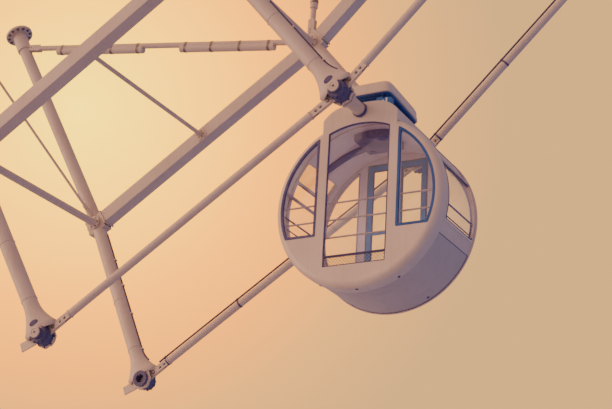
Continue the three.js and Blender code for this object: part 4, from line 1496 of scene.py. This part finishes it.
def dishedFace(profile, y0, y1, outwards):
    fascia = bmesh.new()
    addFascia(fascia, y0, y1, outwards)
    return carve(spunDrum(profile), fascia, "UNION")


def frontShell():
    c = cabin
    corner, y = c["dish"] - c["frontRounding"], -c["face"] + c["frontRounding"]
    inside = c["frontRounding"] - c["shell"]
    profile = [(c["discEdge"], -c["face"])]
    profile += roundedProfile(corner, y, c["frontRounding"], -90, 0, 12)
    profile += [(c["dish"], c["frontRim"] - 0.006), (c["dish"] - 0.006, c["frontRim"])]
    profile += [(c["dish"] - c["shell"], c["frontRim"])]
    profile += roundedProfile(corner, y, inside, 0, -90, 8)
    profile += [(c["discEdge"], -c["face"] + c["shell"])]
    return dishedFace(profile, -c["face"], -c["face"] + c["shell"], -1)


def rearShell():
    c = cabin
    corner, y = c["dish"] - c["rearRounding"], c["face"] - c["rearRounding"]
    inside = c["dish"] - c["shell"]
    profile = [(c["discEdge"], c["face"] - c["shell"]), (corner, c["face"] - c["shell"])]
    profile += [(inside, c["rearRim"] + 0.006), (inside, c["rearRim"])]
    profile += [(c["dish"] - 0.005, c["rearRim"]), (c["dish"], c["rearRim"] + 0.005)]
    profile += roundedProfile(corner, y, c["rearRounding"], 0, 90, 8)
    profile += [(c["discEdge"], c["face"])]
    return dishedFace(profile, c["face"] - c["shell"], c["face"], 1)


def openingTool(outlines, y0, y1):
    tool = bmesh.new()
    for outline in outlines:
        addSlab(tool, outline, y0, y1)
    addRod(tool, Vector((0, y0, 0)), Vector((0, y1, 0)), cabin["axleHole"], 64)
    return tool


def lineInside(piece):
    # gives the faces that look into the cabin the lining's material, and the sides of a face's rim
    # the white one, drawn pale as painted light
    for material in (ceilingPlastic, melaminePaintedLight):
        piece.data.materials.append(material)
    rim = "face" in piece.name
    middle = axleAt - Vector((0, 0, cabin["drop"]))
    for face in piece.data.polygons:
        out = face.center - middle
        around = Vector((out.x, 0, out.z)).normalized()
        if -face.normal.y * out.y > 0.4 or face.normal.dot(around) < -0.7:
            # the sideways, lower faces of a face's rim take the pale melamine as painted light
            white = rim and around.z < 0.6 and abs(face.normal.y) < 0.4
            face.material_index = 2 if white else 1


hinges = {
    "heights": (-0.45, -1.72),  # from the axle, of each hinge's middle
    "pin": (0.412, 0.588),  # X and Y
    "pinRadius": 0.008,
    "pinReach": 0.04,
    "ears": (-0.046, 0.034),  # where the two on the wall start, from the hinge's middle
    "ear": ((0.404, 0.434), 0.012),  # X from and to, and height
    # radius and height of the leaf's knuckle round the pin, all round its section
    "knuckle": ((0.0086, 0), (0.014, 0), (0.016, 0.002),
                (0.016, 0.062), (0.014, 0.064), (0.0086, 0.064)),
    "knuckleReach": 0.032,
    # the leaf's strap and its neck, in X and Y, with their rounding
    "straps": (((0.361, 0.395), (0.557, 0.6), 0.003), ((0.365, 0.4), (0.585, 0.6), 0.002)),
    "back": 0.6,  # how far back the ears reach
}


def makeFaces():
    c, h = cabin, hinges
    beside = [roundCorners(faceOutline(side, 0), 0.016) for side in hands.values()]
    near, beyond = c["faceCut"]
    tool = openingTool([roundCorners(centreOutline(0), 0.012)] + beside, -beyond, -near)
    front = carve(frontShell(), tool)
    lineInside(addCabinPiece(front, "front_face_moulding", cabinGelcoat,
                             replaced=["front_wall"], sharp=35))
    rear = carve(rearShell(), openingTool([doorOutline(0)] + beside, near, beyond))
    spanX, height = h["ear"]
    spanY = (c["face"] - 0.004, h["back"])
    for side in hands.values():
        x, y = side * h["pin"][0], h["pin"][1]
        for z in h["heights"]:
            for low in h["ears"]:
                addSideBox(rear, side, spanX, spanY, (z + low, z + low + height), 0.002)
            addRod(rear, Vector((x, y, z - h["pinReach"])), Vector((x, y, z + h["pinReach"])),
                   h["pinRadius"], 24)
    lineInside(addCabinPiece(rear, "rear_face_moulding", cabinGelcoat,
                             replaced=["rear_wall"], sharp=35))


def addArcBlock(bm, low, high, inner, outer, y0, y1, rounding=0.003, perStep=2.25):
    # a curved block of the drum between two angles
    corners = [(inner, y0), (outer, y0), (outer, y1), (inner, y1)]
    verts = [bm.verts.new(drumPoint(low, radius, y)) for radius, y in corners]
    face = bm.faces.new(verts)
    before = set(bm.verts) - set(verts)
    steps = max(2, round((high - low) / perStep))
    bmesh.ops.spin(bm, geom=[face] + list(face.edges) + verts, cent=(0, 0, -cabin["drop"]),
                   axis=(0, -1, 0), angle=math.radians(high - low), steps=steps)
    made = [v for v in bm.verts if v not in before]
    bmesh.ops.recalc_face_normals(bm, faces=list({f for v in made for f in v.link_faces}))
    if rounding:
        roundEdges(bm, made, rounding)


def makeBarrel():
    c = cabin
    inner, outer = c["barrel"] - c["shell"], c["barrel"]
    y0, y1 = c["frontRim"] + c["gap"], c["rearRim"] - c["gap"]
    low, high = c["bellyAngle"], c["roofAngle"]
    seam = math.degrees(c["gap"] / 2 / outer)
    bm, tool = bmesh.new(), bmesh.new()
    addArcBlock(bm, high + seam, 180 - high - seam, inner, outer, y0, y1)
    for side in hands.values():
        barrelTool(tool, ventWindow, side)
    lineInside(addCabinPiece(carve(bm, tool), "roof_moulding", cabinGelcoat,
                             replaced=["roof_shell"]))
    bm = bmesh.new()
    addArcBlock(bm, -180 - low + seam, low - seam, inner, outer, y0, y1)
    addCabinPiece(bm, "belly_moulding", bellyGelcoatPaintedShade, replaced=["belly_shell"])
    for hand, side in hands.items():
        bm, tool = bmesh.new(), bmesh.new()
        addArcBlock(bm, *sideSpan(side, low + seam, high - seam), inner, outer, y0, y1)
        for window in (barrelWindow, ventWindow):
            barrelTool(tool, window, side)
        lineInside(addCabinPiece(carve(bm, tool), f"side_moulding_{hand}", cabinGelcoat,
                                 replaced=[f"side_wall_{hand}"]))


ventFlap = {
    "lap": 0.012,  # over the drum round the opening
    "width": 0.009,
    "snug": 0.0004,
    "proud": 0.014,
    "depth": 0.034,
    "sink": 0.002,
    "pane": 0.006,
    "paneInset": (0.5, 0.009),  # in degrees and in metres
}


def makeVentFlap(hand, side):
    # the framed upper pane, which lies on the drum over its opening
    v, c = ventFlap, cabin
    wide, narrow, snug = (barrelOutline(inset, ventWindow)
                          for inset in (-v["lap"], v["width"], v["snug"]))
    high, low, under = (c["barrel"] + rise for rise in (v["proud"], -v["depth"], -v["sink"]))
    loops = [(wide, high), (narrow, high), (narrow, low), (snug, low), (snug, under), (wide, under)]
    bm = bmesh.new()
    addLoft(bm, [barrelLoop(outline, radius, side) for outline, radius in loops], closed=True)
    addCabinPiece(bm, f"vent_flap_frame_{hand}", railPaint)
    (first, last), (front, rear) = ventWindow["angles"], ventWindow["ends"]
    turn, inset = v["paneInset"]
    pane = c["barrel"] + v["pane"]
    bm = bmesh.new()
    addArcBlock(bm, *sideSpan(side, first + turn, last - turn), pane - v["pane"], pane,
                front + inset, rear - inset, 0, 1.5)
    addCabinPiece(bm, f"vent_flap_glass_{hand}", smokedGlass)


trimSizes = {
    "sink": 0.002,  # how deep the rails sit in the drum
    # angles, ends, how far they stand proud, and rounding
    "drip": ((24.6, 25.4), (-0.345, 0.512), 0.024, 0.006),
    "sill": ((-16.2, -15.3), (-0.315, 0.49), 0.012, 0.003),
    "jointWidth": 0.22,  # degrees to either side
    "jointSink": 0.004,
    "jointProud": 0.0022,
    "ringWidth": 0.008,  # of the joint round the belly's rear edge
    "ringProud": 0.006,
}


def makeRail(name, side, rail, material):
    # a rail along the drum, parallel to the axle
    angles, ends, proud, rounding = rail
    bm = bmesh.new()
    addArcBlock(bm, *sideSpan(side, *angles), cabin["barrel"] - trimSizes["sink"],
                cabin["barrel"] + proud, *ends, rounding)
    addCabinPiece(bm, name, material)


def makeTrim():
    # a drip rail, a vent flap and a sill at each side window, and the dark joints round the belly
    c, t = cabin, trimSizes
    at, width, below = c["bellyAngle"], t["jointWidth"], c["barrel"] - t["jointSink"]
    joints = bmesh.new()
    for hand, side in hands.items():
        makeRail(f"drip_rail_{hand}", side, t["drip"], cabinGelcoat)
        makeVentFlap(hand, side)
        makeRail(f"window_sill_{hand}", side, t["sill"], melaminePaintedLight)
        addArcBlock(joints, *sideSpan(side, at - width, at + width), below,
                    c["barrel"] + t["jointProud"], c["frontRim"] + 0.001, c["rearRim"] - 0.001,
                    0, 0.2)
    addArcBlock(joints, -180 - at, at, below, c["barrel"] + t["ringProud"],
                c["rearRim"] - t["ringWidth"], c["rearRim"] - 0.0005, 0)
    addCabinPiece(joints, "belly_joint_seals", rubber)


# Glass, gaskets and window frames

gaskets = {
    "proud": 0.004,  # in front of the face
    "back": 0.026,
    "lap": 0.003,  # over the opening's edge
    "sideWidth": 0.03,
    "rearWidth": 0.015,
    "bead": (-0.006, 0.005),  # of the bead behind, from the frame's inner edge
    "beadSpan": (0.004, -0.006),  # from the frame's back
    "centreWidth": 0.01,
    "doorWidth": 0.014,
    "barrelLap": 0.004,
    "barrelWidth": 0.011,
    "barrelBack": 0.011,
    "glassDepth": 0.012,
    "glassThickness": 0.008,
}


def makeFaceGaskets():
    g, c = gaskets, cabin

    def sideFrame(name, side, insets, corners, depths, rounding, material):
        outer, inner = (roundCorners(faceOutline(side, inset), corner)
                        for inset, corner in zip(insets, corners))
        bm = bmesh.new()
        addFrame(bm, outer, inner, *sorted(way * (c["face"] + depth) for depth in depths), rounding)
        addCabinPiece(bm, name, material)

    for face, way, width in (("front", -1, g["sideWidth"]), ("rear", 1, g["rearWidth"])):
        for hand, side in hands.items():
            # the left frames are drawn in the dark rubber as painted shade; both sides carry the
            # same blue coat
            sideFrame(f"{face}_window_frame_{hand}", side, (-g["lap"], width), (0.018, 0.012),
                      (g["proud"], -g["back"]), 0.003,
                      frameCoat if hand == "right" else rubber)
            sideFrame(f"{face}_window_bead_{hand}", side, [width + by for by in g["bead"]],
                      (0.014, 0.01), [by - g["back"] for by in g["beadSpan"]], 0.002,
                      ceilingPlastic)
    outer, inner = (roundCorners(centreOutline(inset, outlineSizes["centreSill"]), corner)
                    for inset, corner in ((-g["lap"], 0.015), (g["centreWidth"], 0.008)))
    bm = bmesh.new()
    addFrame(bm, outer, inner, -c["face"] - g["proud"], -c["face"] + g["back"], 0.003)
    addCabinPiece(bm, "front_centre_gasket", rubber)
    bm = bmesh.new()
    addFrame(bm, doorOutline(-g["doorWidth"]), doorOutline(0.0),
             c["face"] - c["shell"], c["face"] + 0.003, 0.002)
    addCabinPiece(bm, "door_surround", doorCoatPaintedLight)


def makeBarrelGlass():
    g, c = gaskets, cabin
    outer = c["barrel"] - g["glassDepth"]
    reach = math.degrees(c["gap"] / (c["barrel"] - c["shell"]))
    (low, high), (front, rear) = barrelWindow["angles"], barrelWindow["ends"]
    above, below = c["barrel"] + g["proud"], c["barrel"] - g["barrelBack"]
    wide, narrow = barrelOutline(-g["barrelLap"]), barrelOutline(g["barrelWidth"])
    for hand, side in hands.items():
        bm = bmesh.new()
        addArcBlock(bm, *sideSpan(side, low + reach, high - reach), outer - g["glassThickness"],
                    outer, front + c["gap"], rear - c["gap"], 0, 1.5)
        addCabinPiece(bm, f"side_pane_{hand}", glass, [f"side_glass_{hand}"])
        bm = bmesh.new()
        loops = [barrelLoop(outline, radius, side) for outline, radius in
                 ((wide, above), (narrow, above), (narrow, below), (wide, below))]
        roundEdges(bm, addLoft(bm, loops, closed=True), 0.003)
        seal = addCabinPiece(bm, f"side_window_gasket_{hand}", rubber)
        seal.data.materials.append(cabinGelcoat)
        for face in seal.data.polygons:  # moulded in with the wall at its rear end
            if face.center.y > axleAt.y + rear - g["barrelWidth"] - 0.001:
                face.material_index = 1


makeFaces()
makeBarrel()
makeTrim()
makeFaceGaskets()
makeBarrelGlass()
print("cabin shell and windows made")


# Roof

roofSizes = {
    "skin": 0.02,
    "fairingFoot": -0.36,
    "hull": (0.2, 0.7),  # inner radius and reach of the drum shape that trims what is cut to it
    "plan": (0.352, -0.487, 0.515),  # half width, front and rear of the cap
    "planSquare": (10, 9),  # how square its front and rear are
    "planTaper": 0.17,  # how much narrower each metre further back
    "bandTop": 0.2425,
    "bandInset": (0.02, 0.012),  # from the cap's edge, at the sides and at the ends
    "bandSlope": (0.72, 0.45),  # further in for each metre down
    "blades": 7,
    "bladeStart": 0.066,
    "bladePitch": 0.0245,
    "bladeDepth": 0.026,
    "bladeThickness": 0.003,
    "bandCore": 0.03,
    "bandEdge": (0.016, 0.003),  # height and reach of the strip over the louvres
    "postStep": 8,  # points of the plan between two posts
    "post": (0.008, 0.008),  # inset and radius
    "barHeight": 0.15,  # the lighter bar round the middle of the louvres
    "bar": (0.014, 0.004, 0.006),  # height, and reach in and out
    # rise above the band and inset of the cap's lower edge
    "capLip": ((0.0005, 0.014), (0.003, 0.004), (0.01, 0.0),
               (0.038, 0.001), (0.043, 0.008), (0.09, 0.01)),
    "capTop": 0.411,
    "capTopInset": 0.075,
    "capSteps": 14,
    "collar": (0.084, 0.026),  # radius and length, as for the sleeve and the boot
    "sleeve": (0.0775, 0.93),
    "boot": (0.094, 0.034),
    "axleEnd": 1.19,
    # the catch box under the band's front right corner: corners and rounding
    "catch": (((0.235, -0.49, 0.05), (0.365, -0.4, 0.155), 0.01),
              ((0.17, -0.485, 0.105), (0.25, -0.42, 0.17), 0.008)),
    "latch": ((0.3, -0.5, 0.06), (0.322, -0.487, 0.145), 0.003),
    "latchPin": ((0.265, -0.5, 0.105), (0.265, -0.487, 0.105)),
}


def planLoop(height, insetX=0.0, insetY=0.0, points=96):
    # the cap's plan: bowed ends, and sides that draw in towards the rear
    r = roofSizes
    half, front, rear = r["plan"]
    loop = []
    for i in range(points):
        turn = 2 * math.pi * (i + 0.5) / points
        square = r["planSquare"][0 if math.sin(turn) < 0 else 1]
        reach = (rear - insetY) if math.sin(turn) > 0 else (-front - insetY)
        x = (half - insetX) * math.copysign(abs(math.cos(turn)) ** (2 / square), math.cos(turn))
        y = reach * math.copysign(abs(math.sin(turn)) ** (2 / square), math.sin(turn))
        loop.append(Vector((x * (1 - r["planTaper"] * (y - front)), y, height)))
    return loop


def bandLoop(height, inset=0.0):
    r = roofSizes
    down = r["bandTop"] - height
    x, y = (a + b * down + inset for a, b in zip(r["bandInset"], r["bandSlope"]))
    return planLoop(height, x, y)


def makeRoof():
    c, r = cabin, roofSizes
    end = c["face"] - c["shell"] - c["gap"]
    outer, inner = (roofOutline(inset, r["fairingFoot"]) for inset in (0, r["skin"]))
    bm = bmesh.new()
    addSlab(bm, outer[1:] + [outer[0]] + inner[:1] + inner[:0:-1], -end, end)
    dish, barrel = c["dish"] + c["gap"], c["barrel"] + c["gap"]
    front, rear = c["frontRim"] + c["gap"], c["rearRim"] - c["gap"]
    core, reach = r["hull"]
    hull = spunDrum([(core, -reach), (dish, -reach), (dish, front), (barrel, front),
                     (barrel, rear), (dish, rear), (dish, reach), (core, reach)])
    addCabinPiece(carve(bm, hull), "roof_fairing", cabinGelcoat, replaced=["roof_housing"])


def makeLouvreBand():
    r = roofSizes
    top, blade, depth = r["bandTop"], r["bladeThickness"], r["bladeDepth"]
    bm = bmesh.new()
    addLoft(bm, [bandLoop(height, r["bandCore"]) for height in (0.0, top)], capped=True)
    for i in range(r["blades"]):
        low = r["bladeStart"] + i * r["bladePitch"]
        high = min(low + r["bladePitch"] * 1.15, top - blade - 0.001)
        loops = [[point + Vector((0, 0, lift)) for point in bandLoop(height, inset)]
                 for height, inset, lift in ((low, 0, 0), (low, 0, blade),
                                             (high, depth, blade), (high, depth, 0))]
        addLoft(bm, loops, closed=True)
    height, reach = r["bandEdge"]
    addLoft(bm, [bandLoop(h, -reach) for h in (top - height, top)], capped=True)
    inset, radius = r["post"]
    low, high = bandLoop(0.03, inset), bandLoop(top - 0.012, inset)
    for i in range(4, len(low), r["postStep"]):
        addRod(bm, low[i], high[i], radius, 8)
    addCabinPiece(bm, "cooling_louvres", grilleCoat, ["louvre_band"], sharp=25)
    bm = bmesh.new()
    height, inside, outside = r["bar"]
    loops = [bandLoop(r["barHeight"] + lift, inset) for lift, inset in
             ((0, inside), (0, -outside), (height, -outside), (height, inside))]
    addLoft(bm, loops, closed=True)
    addCabinPiece(bm, "louvre_bar", doorCoatPaintedLight)
    bm = bmesh.new()
    for box in r["catch"]:
        addBox(bm, *box)
    addCabinPiece(bm, "band_catch", doorCoatPaintedLight)
    bm = bmesh.new()
    addRod(bm, *map(Vector, r["latchPin"]), 0.015, 20)
    addBox(bm, *r["latch"])
    addCabinPiece(bm, "band_catch_latch", melaminePaintedLight)


def makeCap():
    r = roofSizes
    bottom = r["bandTop"]
    loops = [planLoop(bottom + rise, inset, inset) for rise, inset in r["capLip"]]
    rise, inset = r["capLip"][-1]
    for i in range(1, r["capSteps"] + 1):
        turn = math.pi / 2 * i / r["capSteps"]
        height = bottom + rise + (r["capTop"] - bottom - rise) * math.sin(turn)
        step = inset + (r["capTopInset"] - inset) * (1 - math.cos(turn))
        loops.append(planLoop(height, step, step))
    bm = bmesh.new()
    addLoft(bm, loops, capped=True)
    addCabinPiece(bm, "roof_cap_moulding", cabinGelcoat, replaced=["roof_cap"], sharp=60)


def makeAxle():
    # the axle with its thicker sleeve outside each wall, a collar on the wall and a rubber boot
    # over it
    c, r = cabin, roofSizes
    face = c["face"] + c["gap"]
    collar, length = r["collar"]
    sleeve, sleeveEnd = r["sleeve"]
    end, radius = r["axleEnd"], c["axleRadius"]
    half = [(0.05, end), (radius - 0.004, end), (radius, end - 0.004), (radius, sleeveEnd),
            (sleeve - 0.003, sleeveEnd), (sleeve, sleeveEnd - 0.003), (sleeve, face + length),
            (collar - 0.004, face + length), (collar, face + length - 0.004), (collar, face),
            (radius, face)]
    bm = bmesh.new()
    addLathe(bm, half + [(x, -z) for x, z in reversed(half)], 72, turned(-90, "X"))
    fillHoles(bm)
    addCabinPiece(bm, "axle_tube", steelEnamel, ["cabin_axle"])
    bm = bmesh.new()
    boot, reach = r["boot"]
    profile = [(collar - 0.002, 0), (boot, 0), (boot, 0.01), (boot - 0.005, 0.014), (boot, 0.018),
               (boot - 0.003, reach - 0.004), (boot - 0.008, reach),
               (sleeve - 0.002, reach + 0.002), (sleeve - 0.002, reach - 0.006),
               (collar - 0.002, reach - 0.01)]
    for way in (-1, 1):
        at = Vector((0, way * face, 0))
        addLathe(bm, profile, 72, frameAt(at, at + Vector((0, way, 0)), (1, 0, 0)), closed=True)
    addCabinPiece(bm, "axle_boots", rubber)


# Fittings in the cabin

unitSizes = {
    "box": ((-0.235, -0.235, -0.236), (0.235, 0.211, -0.1), 0.016),  # corners and rounding
    "hull": (0.2, 0.6),  # inner radius and reach of the drum shape that the box is trimmed to
    "ductSteps": 24,
    "ductFrom": 96,  # degrees round the drum
    "ductTurn": 46,
    "ductY": (0.135, -0.13),  # where it starts, and how far it swings
    "ductHalf": (0.064, -0.018),  # half its width, and how that changes
    "ductDepth": 0.036,
    "ductEdge": 0.008,
    "slots": 9,
    "slotPitch": 0.03,
    "slotHalf": 0.008,
    "slotSpan": (-0.17, 0.02),  # Y
    "slotHeight": (-0.2395, -0.235),  # Z
    "outlets": (-0.15, 0.15),
    "outletAt": (0.13, -0.236),  # Y and Z
    # radius and height of an outlet's ring
    "outlet": ((0.018, 0.0), (0.034, 0.0), (0.034, 0.007), (0.026, 0.009), (0.018, 0.004)),
}


def makeCeilingUnit():
    c, u = cabin, unitSizes
    inside = c["barrel"] - c["shell"] - c["gap"]
    core, reach = u["hull"]
    bm = bmesh.new()
    addBox(bm, *u["box"])
    hull = spunDrum([(core, -reach), (inside, -reach), (inside, reach), (core, reach)])
    bm = carve(bm, hull, "INTERSECT")
    deep, edge = inside - u["ductDepth"], u["ductEdge"]
    shallow = deep + edge
    loops = []
    for i in range(u["ductSteps"] + 1):
        share = i / u["ductSteps"]
        y = u["ductY"][0] + u["ductY"][1] * share ** 2
        half = u["ductHalf"][0] + u["ductHalf"][1] * share
        section = ((inside, -half), (shallow, -half), (deep, edge - half),
                   (deep, half - edge), (shallow, half), (inside, half))
        loops.append([drumPoint(u["ductFrom"] + u["ductTurn"] * share, radius, y + reach)
                      for radius, reach in section])
    addLoft(bm, loops, capped=True)
    addCabinPiece(bm, "cooling_unit", unitPlasticPaintedShade, ["ceiling_unit"])
    bm = bmesh.new()
    (front, rear), (low, high) = u["slotSpan"], u["slotHeight"]
    for i in range(u["slots"]):
        x = u["slotPitch"] * (i - (u["slots"] - 1) / 2)
        addBox(bm, (x - u["slotHalf"], front, low), (x + u["slotHalf"], rear, high), 0.0015)
    for x in u["outlets"]:
        at = Vector((x, *u["outletAt"]))
        addLathe(bm, u["outlet"], 32, frameAt(at, at - Vector((0, 0, 1))), closed=True)
    addCabinPiece(bm, "cooling_unit_vents", castingEnamel)


guardSizes = {
    "y": -0.505,
    "tube": 0.011,
    "tubes": ((-1.128, 0.965), (-1.34, 0.965), (-1.56, 0.4735)),  # height and half length
    "postX": 0.4585,
    "post": (0.015, 0.006, -1.6, -1.088),  # half width, thickness, bottom and top
    "clamp": (0.013, 0.016),  # half width and half height
    "boltLift": 0.03,
    "sideRadius": 1.003,  # from the drum's middle
    "sideTubes": ((-3, 0.0115), (-11.4, 0.008)),  # degrees and radius
    "sidePost": (-3, -14.5),
    "sidePostEnds": (0.05, 0.02),  # from the front and the rear wall
    "handAngle": 13.2,
    "hand": (0.99, 0.02),  # from the drum's middle, and radius
    "handFlange": (0.006, 0.032),  # half thickness and radius
}


def guardPoint(side, angle, y):
    return drumPoint(sideAngle(side, angle), guardSizes["sideRadius"], y)


def makeGuards():
    c, g = cabin, guardSizes
    end = c["face"] - c["shell"] - c["gap"]
    wall, y = -c["face"] + c["shell"] + c["gap"], g["y"]
    halfPost, thickness, bottom, top = g["post"]
    halfClamp, clampHigh = g["clamp"]
    bm = bmesh.new()
    for z, half in g["tubes"]:
        addRod(bm, Vector((-half, y, z)), Vector((half, y, z)), g["tube"], 24, rounding=0.003)
    for x in (-g["postX"], g["postX"]):
        addBox(bm, (x - halfPost, wall, bottom), (x + halfPost, wall + thickness, top), 0.002)
        for z, _ in g["tubes"]:
            addBox(bm, (x - halfClamp, wall, z - clampHigh),
                   (x + halfClamp, y + 0.004, z + clampHigh), 0.004)
            addBolt(bm, Vector((x, wall + thickness, z + g["boltLift"])), (0, 1, 0),
                    *boltSizes["guard"])
    addCabinPiece(bm, "front_guard_tubes", railPaint, ["front_guard_rails"])
    for hand, side in hands.items():
        bm = bmesh.new()
        for angle, radius in g["sideTubes"]:
            first, last = (guardPoint(side, angle, y) for y in (-end, end))
            addRod(bm, first, last, radius, 24)
            for at, way in ((first, 1), (last, -1)):
                addRod(bm, at, at + Vector((0, way * 0.01, 0)), radius * 1.9, 24, rounding=0.002)
        for y in (-end + g["sidePostEnds"][0], end - g["sidePostEnds"][1]):
            high, low = (guardPoint(side, angle, y) for angle in g["sidePost"])
            addRod(bm, high, low, g["tube"], 16)
        addCabinPiece(bm, f"side_guard_tubes_{hand}", castingEnamel,
                      [f"side_guard_{hand}"])
    # the thicker hand rail high in the left side window
    bm = bmesh.new()
    angle = sideAngle(-1, g["handAngle"])
    (reach, radius), (thick, wide) = g["hand"], g["handFlange"]
    addRod(bm, drumPoint(angle, reach, -end), drumPoint(angle, reach, end), radius, 24)
    for y in (-end + thick, end - thick):
        addRod(bm, drumPoint(angle, reach, y - thick), drumPoint(angle, reach, y + thick), wide, 24,
               rounding=0.002)
    addCabinPiece(bm, "hand_rail", railPaint)


meshSizes = {
    "half": 0.3997,
    "low": -1.9357,
    "high": -1.8103,
    "border": 0.016,
    "ends": (-0.556, -0.544),  # Y
    "boltsAt": (-0.385, -0.13, 0.13, 0.385),
    "pitch": 0.044,
    "wire": 0.0034,
    "tuck": 0.004,  # how far the wires reach under the frame
    "shortest": 0.004,
    "layers": ((1, -0.553), (-1, -0.547)),  # which way they lean, and Y
}


def makeVent():
    # expanded mesh in a flat frame: wires both ways on the slant, one layer just behind the other
    m = meshSizes
    half, low, high, border = m["half"], m["low"], m["high"], m["border"]
    outer = boxOutline(-half, half, low, high)
    inner = boxOutline(-half + border, half - border, low + border, high - border)
    bm = bmesh.new()
    addFrame(bm, outer, inner, *m["ends"], 0.002)
    for x in m["boltsAt"]:
        for z in (low + border / 2, high - border / 2):
            addBolt(bm, Vector((x, m["ends"][0], z)), (0, -1, 0), *boltSizes["vent"])
    addCabinPiece(bm, "vent_frame", castingEnamel, ["vent_panel"])
    bm = bmesh.new()
    left, right = inner[0][0] - m["tuck"], inner[1][0] + m["tuck"]
    bottom, top = inner[0][1] - m["tuck"], inner[2][1] + m["tuck"]
    rise = top - bottom
    for lean, y in m["layers"]:
        start = left - rise
        while start < right:
            x0, x1 = max(start, left), min(start + rise, right)
            z0, z1 = bottom + (x0 - start), bottom + (x1 - start)
            if x1 - x0 > m["shortest"]:
                if lean < 0:
                    z0, z1 = bottom + top - z0, bottom + top - z1
                addRod(bm, Vector((x0, y, z0)), Vector((x1, y, z1)), m["wire"], 6)
            start += m["pitch"]
    addCabinPiece(bm, "vent_mesh", zincPaint)


drainSizes = {
    # degrees round the drum, Y, and whether it sits on the front wall's dish
    "places": ((-89, -0.47, True), (-118, -0.385, True), (-118, 0.45, False),
               (-62, -0.385, True), (-62, 0.45, False)),
    "sink": 0.002,
    "plug": ((0.0001, 0.004), (0.006, 0.004), (0.008, 0.0075),
             (0.015, 0.0075), (0.019, 0.004), (0.02, -0.004)),
}


def makeDrains():
    # rubber drain plugs under the drum
    bm = bmesh.new()
    for angle, y, dished in drainSizes["places"]:
        radius = cabin["dish"] if dished else cabin["barrel"]
        at = drumPoint(angle, radius - drainSizes["sink"], y)
        out = (at - drumPoint(0, 0, y)).normalized()
        addLathe(bm, drainSizes["plug"], 32, frameAt(at, at + out))
    fillHoles(bm)
    addCabinPiece(bm, "drain_plugs", rubber)


# Doors

doorSizes = {
    "inner": 0.003,  # from the middle of the doorway to the leaf's edges
    "outer": 0.395,
    "bottom": -1.928,
    "top": -0.24,
    "stile": 0.062,
    "topRail": 0.068,
    "bottomRail": 0.11,
    "ends": (0.527, 0.561),  # Y of the leaf's faces
    "bar": ((0.527, 0.539), (-1.17, -1.13)),  # Y and Z of the push bar
    "barLap": 0.01,
    "barBolt": 0.02,
    "beadLap": 0.002,
    "beadWidth": 0.01,
    "beads": ((0.549, 0.5585), (0.5345, 0.541)),  # Y, behind and in front of the pane
}


def makeDoor(hand, side):
    d, h = doorSizes, hinges
    body = f"door_{hand}"

    def leafOutline(box, grow, corner):
        # a box of X and Z on this leaf's side, grown all round
        x0, x1, z0, z1 = box
        outline = boxOutline(x0 - grow, x1 + grow, z0 - grow, z1 + grow)
        return roundCorners(outline if side > 0 else [(-x, z) for x, z in outline], corner, 3)

    leaf = (d["inner"], d["outer"], d["bottom"], d["top"])
    hole = (d["inner"] + d["stile"], d["outer"] - d["stile"],
            d["bottom"] + d["bottomRail"], d["top"] - d["topRail"])
    bm = bmesh.new()
    addFrame(bm, leafOutline(leaf, 0, 0.012), leafOutline(hole, 0, 0.012), *d["ends"], 0.003)
    x, y = side * h["pin"][0], h["pin"][1]
    for middle in h["heights"]:
        spanZ = (middle - h["knuckleReach"], middle + h["knuckleReach"])
        knuckle = frameAt(Vector((x, y, spanZ[0])), Vector((x, y, spanZ[1])))
        addLathe(bm, h["knuckle"], 40, knuckle, closed=True)
        for spanX, spanY, rounding in h["straps"]:
            addSideBox(bm, side, spanX, spanY, spanZ, rounding)
    finishPiece(bm, f"door_frame_{hand}", body, doorCoatPaintedLight, [f"door_leaf_{hand}"])
    bm = bmesh.new()
    spanY, spanZ = d["bar"]
    addSideBox(bm, side, (hole[0] - d["barLap"], hole[1] + d["barLap"]), spanY, spanZ, 0.004)
    for x in (hole[0] + d["barBolt"], hole[1] - d["barBolt"]):
        addBolt(bm, Vector((side * x, spanY[0], sum(spanZ) / 2)), (0, -1, 0), *boltSizes["door"])
    finishPiece(bm, f"door_push_bar_{hand}", body, doorCoatPaintedLight)
    bm = bmesh.new()
    bead, lip = leafOutline(hole, d["beadLap"], 0.014), leafOutline(hole, -d["beadWidth"], 0.01)
    for ends in d["beads"]:
        addFrame(bm, bead, lip, *ends, 0.002)
    finishPiece(bm, f"door_bead_{hand}", body, rubber)


makeRoof()
makeLouvreBand()
makeCap()
makeAxle()
print("roof and axle made")
makeCeilingUnit()
makeGuards()
makeVent()
makeDrains()
for hand, side in hands.items():
    makeDoor(hand, side)
for node in ("front_centre_glass", "front_glass_left", "front_glass_right", "rear_glass_left",
             "rear_glass_right", "door_glass_left", "door_glass_right"):
    dressNode(node, glass)
dressNode("floor_panel", vinyl)
print("cabin fittings and doors made")
